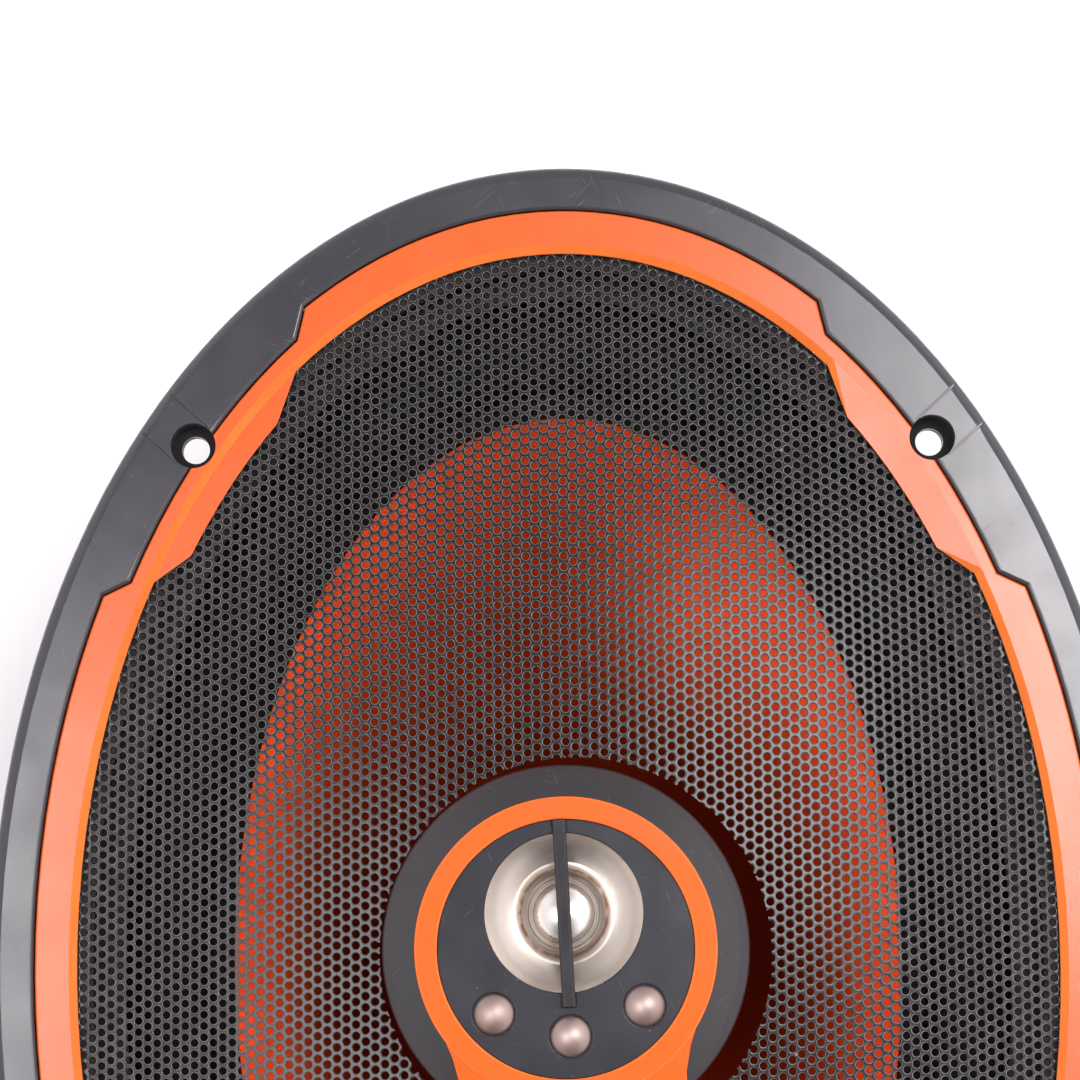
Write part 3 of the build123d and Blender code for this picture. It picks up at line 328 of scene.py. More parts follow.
def rubber(name, colour, rough_range, dust=0.05, bloomed=1.0):
    """Matt black rubber with a soft bloom and a fine moulding texture."""
    finish = Finish(name, colour, 0.6, IOR=1.45, Sheen_Weight=0.08 * bloomed, Sheen_Roughness=0.5)
    bloom = finish.noise(12.0, 5.0)
    finish.tint(finish.level(bloom, 0.45, 0.75, 0.0, 0.30 * bloomed), (0.075, 0.073, 0.070))
    finish.tint(finish.specks(2.7, 0.09, dust), (0.34, 0.32, 0.29))
    finish.rough(bloom, 0.3, 0.7, *rough_range)
    finish.bump(finish.noise(0.30, 3.0), 0.012)
    finish.bump(finish.noise(3.5, 2.0), 0.03)
    return finish


def painted_steel(name, colour, rough_range):
    """Black stoving enamel on pressed steel, with a slight orange peel."""
    finish = Finish(name, colour, 0.4, IOR=1.5, Coat_Weight=0.15, Coat_Roughness=0.25)
    finish.soft_edges(0.25)
    peel = finish.noise(0.9, 2.0)
    patches = finish.noise(17.0, 4.0)
    finish.tint(finish.level(patches, 0.5, 0.8, 0.0, 0.4), (0.060, 0.060, 0.064))
    finish.tint(finish.specks(4.2, 0.12, 0.12), (0.34, 0.33, 0.31))
    finish.rough(patches, 0.3, 0.7, *rough_range)
    finish.bump(peel, 0.012)
    finish.bump(finish.noise(11.0, 1.0), 0.05)
    return finish


UNBRUSHED = (1, 1, 1)


def bare_metal(name, colour, rough_range, brush=(0.02, 1.0, 1.0), tarnish=(0.30, 0.24, 0.17)):
    """Plated metal with brush marks, finger-dull patches and a trace of tarnish."""
    finish = Finish(name, colour, 0.3, 1.0)
    finish.soft_edges(0.10)
    patches = finish.noise(2.6, 4.0)
    brushed = finish.noise(0.35, 3.0, brush)
    finish.tint(finish.level(patches, 0.55, 0.80, 0.0, 0.35), tarnish)
    finish.rough(patches, 0.3, 0.7, *rough_range)
    finish.bump(brushed, 0.004)
    return finish


def turned_metal(name, colour, rough_range, centre):
    """Machined metal with fine turning lines round an upright axis."""
    pitch = 0.35
    finish = Finish(name, colour, 0.3, 1.0)
    finish.soft_edges(0.10)
    lines = finish.math("SINE", finish.math("MULTIPLY", finish.radius(centre), 2 * math.pi / pitch))
    patches = finish.noise(7.0, 4.0)
    finish.tint(finish.level(patches, 0.5, 0.8, 0.0, 0.3), mixed(colour, (0.2, 0.18, 0.15), 0.5))
    finish.rough(patches, 0.3, 0.7, *rough_range)
    finish.bump(lines, 0.004)
    return finish


def dish_metal(centre):
    """Champagne metallised dish with brown grime where the lip rises."""
    finish = Finish("dish_champagne", (0.60, 0.54, 0.485), 0.3, 1.0)
    reach = finish.radius(centre)
    smudge = finish.noise(1.3, 4.0)
    ring = finish.math("MULTIPLY", finish.level(reach, 6.75, 6.35), finish.level(reach, 5.9, 6.15))
    grime = finish.math("MULTIPLY", ring, finish.level(smudge, 0.30, 0.50, 0.45, 1.0))
    haze = finish.level(smudge, 0.35, 0.65, 0.6, 1.0)
    haze = finish.math("MULTIPLY", finish.level(reach, 9.6, 6.8), haze)
    finish.tint(finish.math("MULTIPLY", haze, 0.65), (0.33, 0.26, 0.205))
    finish.tint(finish.math("MULTIPLY", grime, 0.85), (0.17, 0.095, 0.05))
    finish.tint(finish.specks(2.3, 0.06, 0.05), (0.25, 0.18, 0.12))
    finish.rough(smudge, 0.3, 0.7, 0.33, 0.42)
    finish.rougher(grime, 0.2)
    finish.bump(finish.noise(0.35, 2.0), 0.0006)
    return finish


def ferrite():
    """Dark sintered ferrite with a coarse ground grain."""
    finish = Finish("ferrite_ground", (0.050, 0.050, 0.054), 0.55, IOR=1.6)
    grain = finish.noise(0.5, 5.0, harsh=0.7)
    finish.tint(finish.level(grain, 0.5, 0.75, 0.0, 0.5), (0.13, 0.13, 0.14))
    finish.rough(finish.noise(6.0, 3.0), 0.3, 0.7, 0.45, 0.62)
    finish.bump(grain, 0.02)
    return finish


def spider_cloth():
    """Ochre resin-stiffened weave, with painted shade in the gaps between threads."""
    finish = Finish("spider_weave", (0.50, 0.33, 0.14), 0.85, Sheen_Weight=0.2)
    threads = [finish.wave(0.42, turn, 0.8, 1.0) for turn in (0.0, math.pi / 2)]
    weave = finish.math("MULTIPLY", *threads)
    # Painted shade: the gaps between threads are darkened.
    finish.tint(finish.level(weave, 0.0, 0.25, 0.55, 0.0), (0.20, 0.115, 0.04))
    finish.tint(finish.level(finish.noise(9.0, 4.0), 0.45, 0.75, 0.0, 0.35), (0.34, 0.20, 0.08))
    finish.bump(weave, 0.12)
    return finish


def copper_winding():
    """Copper wire wound in close turns, with painted shade in the grooves between them."""
    finish = Finish("coil_copper", (0.80, 0.33, 0.15), 0.28, 1.0)
    wire_pitch = 0.28
    height = finish.part(finish.spot(), 2)
    turns = finish.math("SINE", finish.math("MULTIPLY", height, 2 * math.pi / wire_pitch))
    # Painted shade: the grooves between turns are darkened.
    finish.tint(finish.level(turns, -0.2, -0.9, 0.0, 0.6), (0.16, 0.05, 0.02))
    finish.bump(turns, 0.05)
    return finish


def film(name, colour, rough_range):
    """Thin formed plastic film with slight ripples."""
    finish = Finish(name, colour, 0.35, IOR=1.6)
    ripple = finish.noise(2.2, 3.0)
    finish.tint(finish.level(ripple, 0.45, 0.75, 0.0, 0.4), mixed(colour, (0.1, 0.05, 0.02), 0.5))
    finish.rough(ripple, 0.3, 0.7, *rough_range)
    finish.bump(ripple, 0.02)
    return finish


def board(name, colour, fibre_colour):
    """Pressed fibre board."""
    finish = Finish(name, colour, 0.7)
    fibres = finish.noise(0.5, 5.0, (1.0, 0.25, 1.0), harsh=0.7)
    finish.tint(finish.level(fibres, 0.5, 0.7, 0.0, 0.6), fibre_colour)
    finish.rough(fibres, 0.3, 0.7, 0.55, 0.8)
    finish.bump(fibres, 0.03)
    return finish


def braid():
    """Tinned copper tinsel, woven round the lead, with painted shade between the strands."""
    finish = Finish("lead_braid", (0.78, 0.60, 0.42), 0.32, 1.0)
    strands = finish.wave(0.9, 0.7, 1.2)
    # Painted shade: the troughs between strands are darkened.
    finish.tint(finish.level(strands, 0.35, 0.05, 0.0, 0.7), (0.30, 0.16, 0.08))
    finish.rough(finish.noise(1.2, 3.0), 0.3, 0.7, 0.25, 0.45)
    finish.bump(strands, 0.05)
    return finish


def capacitor_sleeve():
    """Dark blue sleeve on the can, with bare tinned wire beyond its ends."""
    low, _ = box_mm("crossover_capacitor")
    can_r = 4.0
    wire_r = 0.45
    bend_x = 67.4
    finish = Finish("capacitor_sleeve", (0.020, 0.040, 0.150), 0.25, IOR=1.5)
    wrinkles = finish.noise(1.6, 3.0, (0.3, 1.0, 1.0))
    finish.tint(finish.level(wrinkles, 0.5, 0.8, 0.0, 0.4), (0.035, 0.065, 0.22))
    reach = finish.radius((0, 0, low.z + can_r), (0, 1, 1))
    near_axis = finish.level(reach, wire_r + 0.3, wire_r)
    past_bend = finish.level(finish.part(finish.spot(), 0), bend_x, bend_x + 0.2)
    wire = finish.math("MAXIMUM", near_axis, past_bend)
    finish.tint(wire, (0.70, 0.68, 0.64))
    finish.feed(finish.shader.inputs["Metallic"], wire)
    finish.rough(wrinkles, 0.3, 0.7, 0.18, 0.32)
    finish.bump(wrinkles, 0.03)
    return finish


def dress(finish, *names):
    """Gives CAD nodes a finish."""
    for name in names:
        for entry in nodes[name].material_slots:
            entry.material = finish.material


def dress_all():
    """Gives every CAD node that stays visible its finish."""
    tweeter = centre_mm("tweeter_dish")
    axis = Vector((0, 0, 0))
    steel = (0.42, 0.42, 0.44)
    bright_steel = (0.58, 0.58, 0.60)
    tin = (0.80, 0.76, 0.66)
    dress(paint_ledge_shade(black_plastic("trim_satin_black", (0.039, 0.039, 0.045), (0.17, 0.23))), "trim_frame")
    dress(orange_paint("ring_orange", (0.87, 0.096, 0.018), (0.18, 0.26), 1.43), "accent_ring")
    dress(orange_paint("pod_ring_orange", (0.90, 0.106, 0.010), (0.18, 0.26), 1.32), "pod_ring")
    dress(black_plastic("pod_satin_black", (0.027, 0.025, 0.028), (0.19, 0.24)), "pod_housing", "pod_base")
    dress(black_plastic("bridge_satin_black", (0.017, 0.017, 0.020), (0.18, 0.24)), "tweeter_bridge")
    dress(black_plastic("pod_face_dark_grey", (0.025, 0.026, 0.032), (0.17, 0.21), 0.006, 0.2), "pod_face")
    dress(board("gasket_fibre", (0.012, 0.0115, 0.011), (0.035, 0.033, 0.031)), "front_gasket")
    dress(painted_steel("basket_enamel", (0.022, 0.022, 0.024), (0.32, 0.46)), "basket")
    dress(cone_plastic(), "cone")
    dress(rubber("boot_rubber", (0.024, 0.024, 0.026), (0.48, 0.66)), "magnet_boot")
    dress(rubber("cable_pvc", (0.022, 0.022, 0.022), (0.35, 0.5)), "tweeter_cable")
    dress(ferrite(), "ferrite_magnet")
    dress(turned_metal("zinc_plate", steel, (0.28, 0.42), axis), "top_plate", "yoke")
    dress(turned_metal("cup_plate", steel, (0.25, 0.40), tweeter), "tweeter_cup", "tweeter_pole_disc")
    dress(bare_metal("nickel_magnet", (0.66, 0.64, 0.60), (0.18, 0.3)), "tweeter_magnet")
    dress(bare_metal("fastener_steel", bright_steel, (0.25, 0.40)), "post_nuts", "pod_screws")
    dress(bare_metal("post_steel", bright_steel, (0.25, 0.40), (1, 1, 0.05)), "center_post")
    dress(bare_metal("rivet_steel", (0.60, 0.60, 0.62), (0.25, 0.42)), "basket_rivets", "terminal_rivets")
    dress(copper_winding(), "voice_coil_winding", "tweeter_voice_coil")
    dress(film("former_amber", (0.42, 0.20, 0.045), (0.25, 0.4)), "voice_coil_former")
    dress(dish_metal(tweeter), "tweeter_dish")
    foil = bare_metal("dome_foil", (0.74, 0.71, 0.68), (0.24, 0.34), UNBRUSHED, (0.6, 0.5, 0.42))
    dress(foil, "tweeter_dome")
    silver = bare_metal("capsule_silver", (0.36, 0.275, 0.25), (0.44, 0.54), UNBRUSHED, (0.42, 0.33, 0.28))
    dress(silver, "capsule_left", "capsule_centre", "capsule_right")
    dress(board("terminal_phenolic", (0.115, 0.052, 0.024), (0.19, 0.10, 0.05)), "terminal_board")
    dress(bare_metal("terminal_tin", tin, (0.2, 0.36), (0.05, 1, 1)), "positive_terminal")
    dress(bare_metal("terminal_tin_narrow", tin, (0.2, 0.36), (0.05, 1, 1)), "negative_terminal")
    dress(bare_metal("lug_brass", (0.80, 0.60, 0.28), (0.25, 0.4)), "tweeter_lugs")
    dress(capacitor_sleeve(), "crossover_capacitor")


# ---- mesh helpers --------------------------------------------------------------------------------

def mesh_piece(name, points, faces, finish):
    """A smooth-shaded mesh from points in millimetres."""
    mesh = bpy.data.meshes.new(name)
    mesh.from_pydata((np.asarray(points, float) * MM).tolist(), [], faces)
    mesh.validate()
    mesh.update()
    mesh.polygons.foreach_set("use_smooth", np.ones(len(mesh.polygons), bool))
    mesh.materials.append(finish.material)
    piece = bpy.data.objects.new(name, mesh)
    bpy.context.scene.collection.objects.link(piece)
    return piece


def sharpen(piece, degrees):
    """Keeps the edges hard where two faces meet at more than this angle."""
    piece.data.set_sharp_from_angle(angle=math.radians(degrees))


def oval_place(corner, angle):
    """Where a section's corner (x reach, y reach, z) comes at an angle round the middle."""
    a, b, z = corner
    return (a * math.cos(angle), b * math.sin(angle), z)


def round_place(centre):
    """The same for corners (radius, z) round an upright axis through the centre."""
    def place(corner, angle):
        radius, z = corner
        return (centre.x + radius * math.cos(angle), centre.y + radius * math.sin(angle), z)
    return place


def closed_sweep(section, turns, place):
    """A closed section carried round a closed loop; place(corner, angle) gives each point."""
    points = []
    count = len(section)
    for i in range(turns):
        angle = 2 * math.pi * i / turns
        points += [place(corner, angle) for corner in section]
    faces = []
    for i in range(turns):
        following = (i + 1) % turns
        for k in range(count):
            after = (k + 1) % count
            faces.append(
                (i * count + k, following * count + k, following * count + after, i * count + after)
            )
    return points, faces


def flexes(piece, weights):
    """Bakes a piece's place into its mesh and smooths its bending weights (0 stays, 1 moves), which are not
    applied.
    """
    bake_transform(piece)
    smooth = np.clip(weights, 0.0, 1.0)
    smooth = smooth * smooth * (3 - 2 * smooth)


# ---- perforated grille ---------------------------------------------------------------------------

# Holes stand in columns, HOLE_PITCH apart. HOLE_RIM and HOLE_PROFILE give (radius, depth) down a
# hole. RIM_SOLID is where the holes stop under the ring, as a share of the sheet's rim. The WELD
# values number the places on a grid whose steps fall between the sheet's points.

HOLE_PITCH = 1.63
COLUMN_PITCH = 1.405
CELL_REACH = 2 * COLUMN_PITCH / 3
HOLE_SIDES = 12
GRILLE_DOME = (71.8, 104.7)
GRILLE_RISE = 9.4
GRILLE_THICK = 0.5
HOLE_RIM = ((0.75, 0.0), (0.70, 0.006), (0.645, 0.025), (0.60, 0.065), (0.575, 0.14))
HOLE_PROFILE = (*HOLE_RIM, (0.575, GRILLE_THICK))
RIM_SOLID = 0.985
GRILLE_OPENING_R = 28.5
GRILLE_OPENING_PLACE = np.array((1.1, 0.1))
WELL_CLEARANCE = 3.7
SCREW_PLACE = np.array((55.5, 76.5))
GRILLE_SECTORS = 10
GRILLE_CREASE = 62
WELD_STEPS = 731.3
WELD_SHIFT = 0.217
WELD_ROW = 400000
WELD_LAYERS = 1000
WELD_DEPTH_STEPS = 100


class Grille:
    """Punched sheet: staggered round holes with rounded edges, cut by the sheet's outlines."""

    def __init__(self):
        low, high = box_mm("grille_mesh")
        self.rim = np.array((high.x, high.y))
        self.seat = low.z
        self.points = []
        self.faces = []

    def height(self, x, y):
        """Height of the sheet's outer face."""
        reach = (x / GRILLE_DOME[0]) ** 2 + (y / GRILLE_DOME[1]) ** 2
        return self.seat + GRILLE_THICK + GRILLE_RISE * np.maximum(0.0, 1.0 - reach)

    def pushed(self, spots):
        """The spots moved onto the sheet, and which of them lay off it."""
        spots = np.array(spots, float)
        reach = np.hypot(*(spots / self.rim).T)
        beyond = reach > 1.0
        spots[beyond] /= reach[beyond, None]
        outward = spots - GRILLE_OPENING_PLACE
        distance = np.maximum(np.hypot(*outward.T), 1e-6)
        inside = distance < GRILLE_OPENING_R
        stretch = (GRILLE_OPENING_R / distance[inside])[:, None]
        spots[inside] = GRILLE_OPENING_PLACE + outward[inside] * stretch
        side = np.where(spots < 0, -1.0, 1.0)
        away = np.abs(spots) - SCREW_PLACE
        gap = np.maximum(np.hypot(*away.T), 1e-6)
        holed = gap < WELL_CLEARANCE
        moved = side * (SCREW_PLACE + away * (WELL_CLEARANCE / gap)[:, None])
        spots[holed] = moved[holed]
        return spots, beyond | inside | holed

    def centres(self):
        """Places of all the cells in the box round the sheet."""
        columns = int(self.rim[0] / COLUMN_PITCH) + 2
        rows = int(self.rim[1] / HOLE_PITCH) + 2
        places = []
        for column in range(-columns, columns + 1):
            stagger = (column % 2) * HOLE_PITCH / 2
            for row in range(-rows, rows + 1):
                places.append((column * COLUMN_PITCH, row * HOLE_PITCH + stagger))
        return np.array(places)

    def hexagon(self):
        """Twelve points round a cell: its corners and the middles of its sides."""
        turns = [math.pi / 3 * i for i in range(6)]
        corners = [(CELL_REACH * math.cos(turn), CELL_REACH * math.sin(turn)) for turn in turns]
        edge = []
        for i, corner in enumerate(corners):
            edge += [corner, tuple((a + b) / 2 for a, b in zip(corner, corners[(i + 1) % 6]))]
        return edge

    def cell_template(self):
        """Points (x, y, depth) of a whole cell, and its faces in order of wedges."""
        turns = [2 * math.pi * i / HOLE_SIDES for i in range(HOLE_SIDES)]
        loops = [[(*spot, 0.0) for spot in self.hexagon()]]
        for radius, depth in HOLE_PROFILE:
            loops.append([(radius * math.cos(turn), radius * math.sin(turn), depth) for turn in turns])
        loops.append([(*spot, GRILLE_THICK) for spot in self.hexagon()])
        wedges = []
        for i in range(HOLE_SIDES):
            j = (i + 1) % HOLE_SIDES
            for ring in range(len(loops) - 1):
                outer, inner = ring * HOLE_SIDES, (ring + 1) * HOLE_SIDES
                wedges.append((outer + i, outer + j, inner + j, inner + i))
        return np.array([spot for loop in loops for spot in loop]), np.array(wedges)

    def add(self, points, faces):
        """Adds points, and faces that number them from 0."""
        base = sum(len(p) for p in self.points)
        self.points.append(np.asarray(points, float))
        self.faces += [tuple(base + k for k in face) for face in faces]

    def add_cut_cell(self, spots, wedges, centre):
        """The wedges of a cell that lie on the sheet, with their points pushed to its outline."""
        flat = spots[:, :2] + centre
        moved, _ = self.pushed(flat)
        reach = np.hypot(*(centre / self.rim))
        per_wedge = len(wedges) // HOLE_SIDES
        if reach > RIM_SOLID:
            self.add_solid_cell(moved)
            return
        kept = []
        for i in range(HOLE_SIDES):
            own = wedges[i * per_wedge:(i + 1) * per_wedge]
            middle = flat[own[0]].mean(axis=0)[None]
            if not self.pushed(middle)[1][0]:
                kept.append(i)
        faces = []
        for i in kept:
            own = wedges[i * per_wedge:(i + 1) * per_wedge]
            faces += [tuple(face) for face in own]
            rings = [face[0] for face in own] + [own[-1][3]]
            after = [face[1] for face in own] + [own[-1][2]]
            if (i - 1) % HOLE_SIDES not in kept:
                faces.append(tuple(rings))
            if (i + 1) % HOLE_SIDES not in kept:
                faces.append(tuple(reversed(after)))
        self.add(np.column_stack((moved, spots[:, 2])), faces)

    def add_solid_cell(self, moved):
        """A cell without a hole, under the ring."""
        top = np.column_stack((moved[:HOLE_SIDES], np.zeros(HOLE_SIDES)))
        low = np.column_stack((moved[:HOLE_SIDES], np.full(HOLE_SIDES, GRILLE_THICK)))
        size = HOLE_SIDES
        self.add(np.vstack((top, low)), [tuple(range(size)), tuple(reversed(range(size, 2 * size)))])

    def welded(self):
        """All the points as one set, with equal ones made the same."""
        points = np.vstack(self.points)
        x_keys, y_keys = np.round(points[:, :2] * WELD_STEPS + WELD_SHIFT).astype(np.int64).T
        depth_keys = np.round(points[:, 2] * WELD_DEPTH_STEPS).astype(np.int64)
        keys = (x_keys * WELD_ROW + y_keys) * WELD_LAYERS + depth_keys
        _, first, index = np.unique(keys, return_index=True, return_inverse=True)
        return points[first], index.reshape(-1)

    def walls(self, points, faces):
        """Upright faces along the outlines, where the top face has an open side."""
        def spot(point):
            return round(point[0], 3), round(point[1], 3)

        sides = {}
        for face in faces:
            if all(points[k, 2] == 0.0 for k in face):
                for side in zip(face, face[1:] + face[:1]):
                    sides[side] = True
        below = {spot(point): k for k, point in enumerate(points) if point[2] == GRILLE_THICK}
        made = []
        for a, b in sides:
            if (b, a) in sides:
                continue
            low_a, low_b = below.get(spot(points[a])), below.get(spot(points[b]))
            if low_a is not None and low_b is not None:
                made.append((b, a, low_a, low_b))
        return made

    def build(self, finish):
        """Cuts the cells at the outlines, copies the whole ones and makes the pieces."""
        centres = self.centres()
        spots, wedges = self.cell_template()
        corners = np.array(self.hexagon()[::2])
        off = np.zeros((len(centres), 6), bool)
        for i, corner in enumerate(corners):
            off[:, i] = self.pushed(centres + corner)[1]
        whole = ~off.any(axis=1)
        cut = off.any(axis=1) & ~off.all(axis=1)
        for centre in centres[cut]:
            self.add_cut_cell(spots, wedges, centre)
        base = sum(len(p) for p in self.points)
        place = centres[whole]
        many = np.repeat(spots[None], len(place), axis=0)
        many[:, :, :2] += place[:, None]
        self.points.append(many.reshape(-1, 3))
        starts = base + np.arange(len(place)) * len(spots)
        quads = (starts[:, None, None] + wedges[None]).reshape(-1, 4)
        points, index = self.welded()
        self.split(points, index[quads], [tuple(index[k] for k in face) for face in self.faces], finish)

    def split(self, points, quads, others, finish):
        """Shares the sheet out over the sectors and makes a piece of each."""
        others = [tuple(dict.fromkeys(face)) for face in others]
        others = [face for face in others if len(face) > 2]
        near = set(np.unique([k for face in others for k in face]).tolist())
        beside = np.isin(quads, list(near)).any(axis=1)
        edge_faces = others + [tuple(face) for face in quads[beside].tolist()]
        others += self.walls(points, edge_faces)
        heights = self.height(points[:, 0], points[:, 1]) - points[:, 2]
        solid = np.column_stack((points[:, :2], heights))
        turn = np.arctan2(solid[:, 1] / self.rim[1], solid[:, 0] / self.rim[0]) % (2 * math.pi)
        sector = np.minimum((turn / (2 * math.pi) * GRILLE_SECTORS).astype(int), GRILLE_SECTORS - 1)
        for number in range(GRILLE_SECTORS):
            own = quads[sector[quads[:, 0]] == number].tolist()
            own += [face for face in others if sector[face[0]] == number]
            used = sorted({k for face in own for k in face})
            place = {old: new for new, old in enumerate(used)}
            faces = [tuple(place[k] for k in face) for face in own]
            piece = mesh_piece(f"perforated_grille_{number + 1}", solid[used], faces, finish)
            sharpen(piece, GRILLE_CREASE)
            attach(piece, "basket")
            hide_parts("grille_mesh")


# ---- surround, spider, leads, tweeter roll -------------------------------------------------------

def make_surround():
    """Rubber half roll: a flat lip on the cone, a round roll and a flat lip on the basket's ledge."""
    low, high = box_mm("surround")
    thick = 0.6
    base = low.z
    crest = high.z
    outer_lip = (high.x, high.y)
    inner_edge = (50.35, 82.35)
    roll_in = (53.9, 85.9)
    roll_out = (65.5, 99.3)
    roll_points = 22
    roll_fullness = 0.8
    roll_height = crest - base - thick
    upper, lower = [], []
    for k in range(roll_points + 1):
        turn = math.pi * k / roll_points
        share = (1 - math.cos(turn)) / 2
        across = [i + (o - i) * share for i, o in zip(roll_in, roll_out)]
        rise = roll_height * math.sin(turn) ** roll_fullness
        upper.append((*across, base + thick + rise))
        inset = thick * (1 - 2 * share)
        lower.append((across[0] + inset, across[1] + inset, base + rise))
    section = [(*inner_edge, base), (*inner_edge, base + thick), *upper]
    section += [(*outer_lip, base + thick), (*outer_lip, base), *reversed(lower)]
    section.reverse()
    points, faces = closed_sweep(section, 240, oval_place)
    # Black rubber, with its colour set darker than the boot's rubber as painted shade under the grille.
    finish = rubber("surround_rubber", (0.007, 0.0065, 0.0072), (0.62, 0.75), 0.03, 0.25)
    finish.shader.inputs["Specular IOR Level"].default_value = 0.15
    piece = mesh_piece("rubber_surround", points, faces, finish)
    sharpen(piece, 50)
    points = np.array(points)
    angle = np.arctan2(points[:, 1] / outer_lip[1], points[:, 0] / outer_lip[0])
    reach = np.hypot(points[:, 0], points[:, 1])
    start = np.hypot(roll_in[0] * np.cos(angle), roll_in[1] * np.sin(angle))
    end = np.hypot(roll_out[0] * np.cos(angle), roll_out[1] * np.sin(angle))
    flexes(piece, (end - reach) / (end - start))
    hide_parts("surround")


def make_spider():
    """Corrugated cloth disc between the coil former and the basket's shelf."""
    _, high = box_mm("spider")
    outer_r = high.x
    inner_r = 15.52
    first, last = 17.0, 41.0
    middle = -37.4
    rolls = 6
    wave = 0.9
    cloth = 0.6
    steps_per_roll = 16
    steps = steps_per_roll * rolls
    upper = []
    for k in range(steps + 1):
        share = k / steps
        height = wave * math.sin(2 * math.pi * rolls * share)
        upper.append((first + (last - first) * share, middle + height))
    collar_top = high.z
    section = [(inner_r, collar_top), (inner_r + cloth, collar_top)]
    section += [(first, middle + cloth / 2), *upper[1:]]
    section += [(outer_r, middle), (outer_r, middle - cloth)]
    section += [(r, z - cloth) for r, z in reversed(upper[1:])]
    section += [(first, middle - cloth), (inner_r, middle - cloth)]
    points, faces = closed_sweep(section, 144, round_place(Vector((0, 0, 0))))
    faces = [tuple(reversed(face)) for face in faces]
    piece = mesh_piece("corrugated_spider", points, faces, spider_cloth())
    sharpen(piece, 60)
    reach = np.hypot(*np.array(points).T[:2])
    flexes(piece, (last - reach) / (last - first))
    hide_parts("spider")


def smooth_line(corners, samples):
    """Points along a Catmull-Rom line through the corners."""
    corners = [Vector(c) for c in corners]
    ends = [2 * corners[0] - corners[1], *corners, 2 * corners[-1] - corners[-2]]
    line = []
    for i in range(1, len(ends) - 2):
        p0, p1, p2, p3 = ends[i - 1:i + 3]
        for k in range(samples):
            t = k / samples
            line.append(
                0.5 * ((2 * p1) + (p2 - p0) * t + (2 * p0 - 5 * p1 + 4 * p2 - p3) * t ** 2
                       + (3 * p1 - p0 - 3 * p2 + p3) * t ** 3)
            )
    line.append(ends[-2])
    return line


def twisted_rope(line, strands, strand_r, lay_r, twist_length):
    """Closed tubes that wind round a line."""
    sides = 8
    points, faces = [], []
    tangents = []
    for i in range(len(line)):
        ahead = line[min(i + 1, len(line) - 1)]
        behind = line[max(i - 1, 0)]
        tangents.append((ahead - behind).normalized())
    side = tangents[0].cross(Vector((0, 1, 0))).normalized()
    travelled = 0.0
    frames = []
    for i, tangent in enumerate(tangents):
        if i:
            travelled += (line[i] - line[i - 1]).length
        side = (side - tangent * side.dot(tangent)).normalized()
        frames.append((line[i], side.copy(), tangent.cross(side), travelled))
    for strand in range(strands):
        base = len(points)
        for centre, u, v, distance in frames:
            turn = 2 * math.pi * (distance / twist_length + strand / strands)
            heart = centre + lay_r * (math.cos(turn) * u + math.sin(turn) * v)
            for k in range(sides):
                angle = 2 * math.pi * k / sides
                points.append(heart + strand_r * (math.cos(angle) * u + math.sin(angle) * v))
        rows = len(frames)
        for i in range(rows - 1):
            for k in range(sides):
                after = (k + 1) % sides
                row, above = base + i * sides, base + (i + 1) * sides
                faces.append((row + k, row + after, above + after, above + k))
        faces.append(tuple(base + k for k in reversed(range(sides))))
        faces.append(tuple(base + (rows - 1) * sides + k for k in range(sides)))
    return points, faces


def make_leads():
    """Tinsel leads, each of four twisted braids, from the terminals to the coil former."""
    finish = braid()
    for name in ("positive", "negative"):
        node = f"tinsel_lead_{name}"
        low, high = box_mm(node)
        y = (low.y + high.y) / 2
        lead_r = 0.7
        board_x = 51.5
        start_z = low.z + lead_r
        line = smooth_line(
            [
                (high.x, y, start_z),
                (board_x, y, start_z + 0.3),
                (46.0, y, start_z + 0.8),
                (36.0, y, start_z + 3.0),
                (26.0, y, start_z + 2.4),
                (low.x, y, start_z + 4.5),
            ],
            14,
        )
        points, faces = twisted_rope(line, 4, 0.34, 0.34, 4.2)
        piece = mesh_piece(f"braided_lead_{name}", points, faces, finish)
        sharpen(piece, 60)
        across = np.array(points)[:, 0]
        flexes(piece, (board_x - across) / (board_x - low.x - 2.0))
        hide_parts(node)


def make_tweeter_roll():
    """Thin half roll round the tweeter's dome."""
    centre = centre_mm("tweeter_suspension")
    low, high = box_mm("tweeter_suspension")
    thick = 0.2
    base = low.z
    inner, outer = 4.45, (high.x - low.x) / 2
    roll_in, roll_out = 4.65, 5.25
    roll_rise = 0.3
    roll_points = 10
    upper = [(inner, base + thick)]
    for k in range(roll_points + 1):
        share = k / roll_points
        height = base + thick + roll_rise * math.sin(math.pi * share)
        upper.append((roll_in + (roll_out - roll_in) * share, height))
    upper.append((outer, base + thick))
    lower = [(outer, base), (inner, base)]
    section = list(reversed([*upper, *lower]))
    points, faces = closed_sweep(section, 96, round_place(centre))
    finish = film("suspension_film", (0.30, 0.25, 0.20), (0.3, 0.45))
    piece = mesh_piece("tweeter_edge_roll", points, faces, finish)
    sharpen(piece, 50)
    points = np.array(points)
    reach = np.hypot(points[:, 0] - centre.x, points[:, 1] - centre.y)
    flexes(piece, (roll_out - reach) / (roll_out - roll_in))
    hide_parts("tweeter_suspension")


# ---- floor, light and camera ---------------------------------------------------------------------

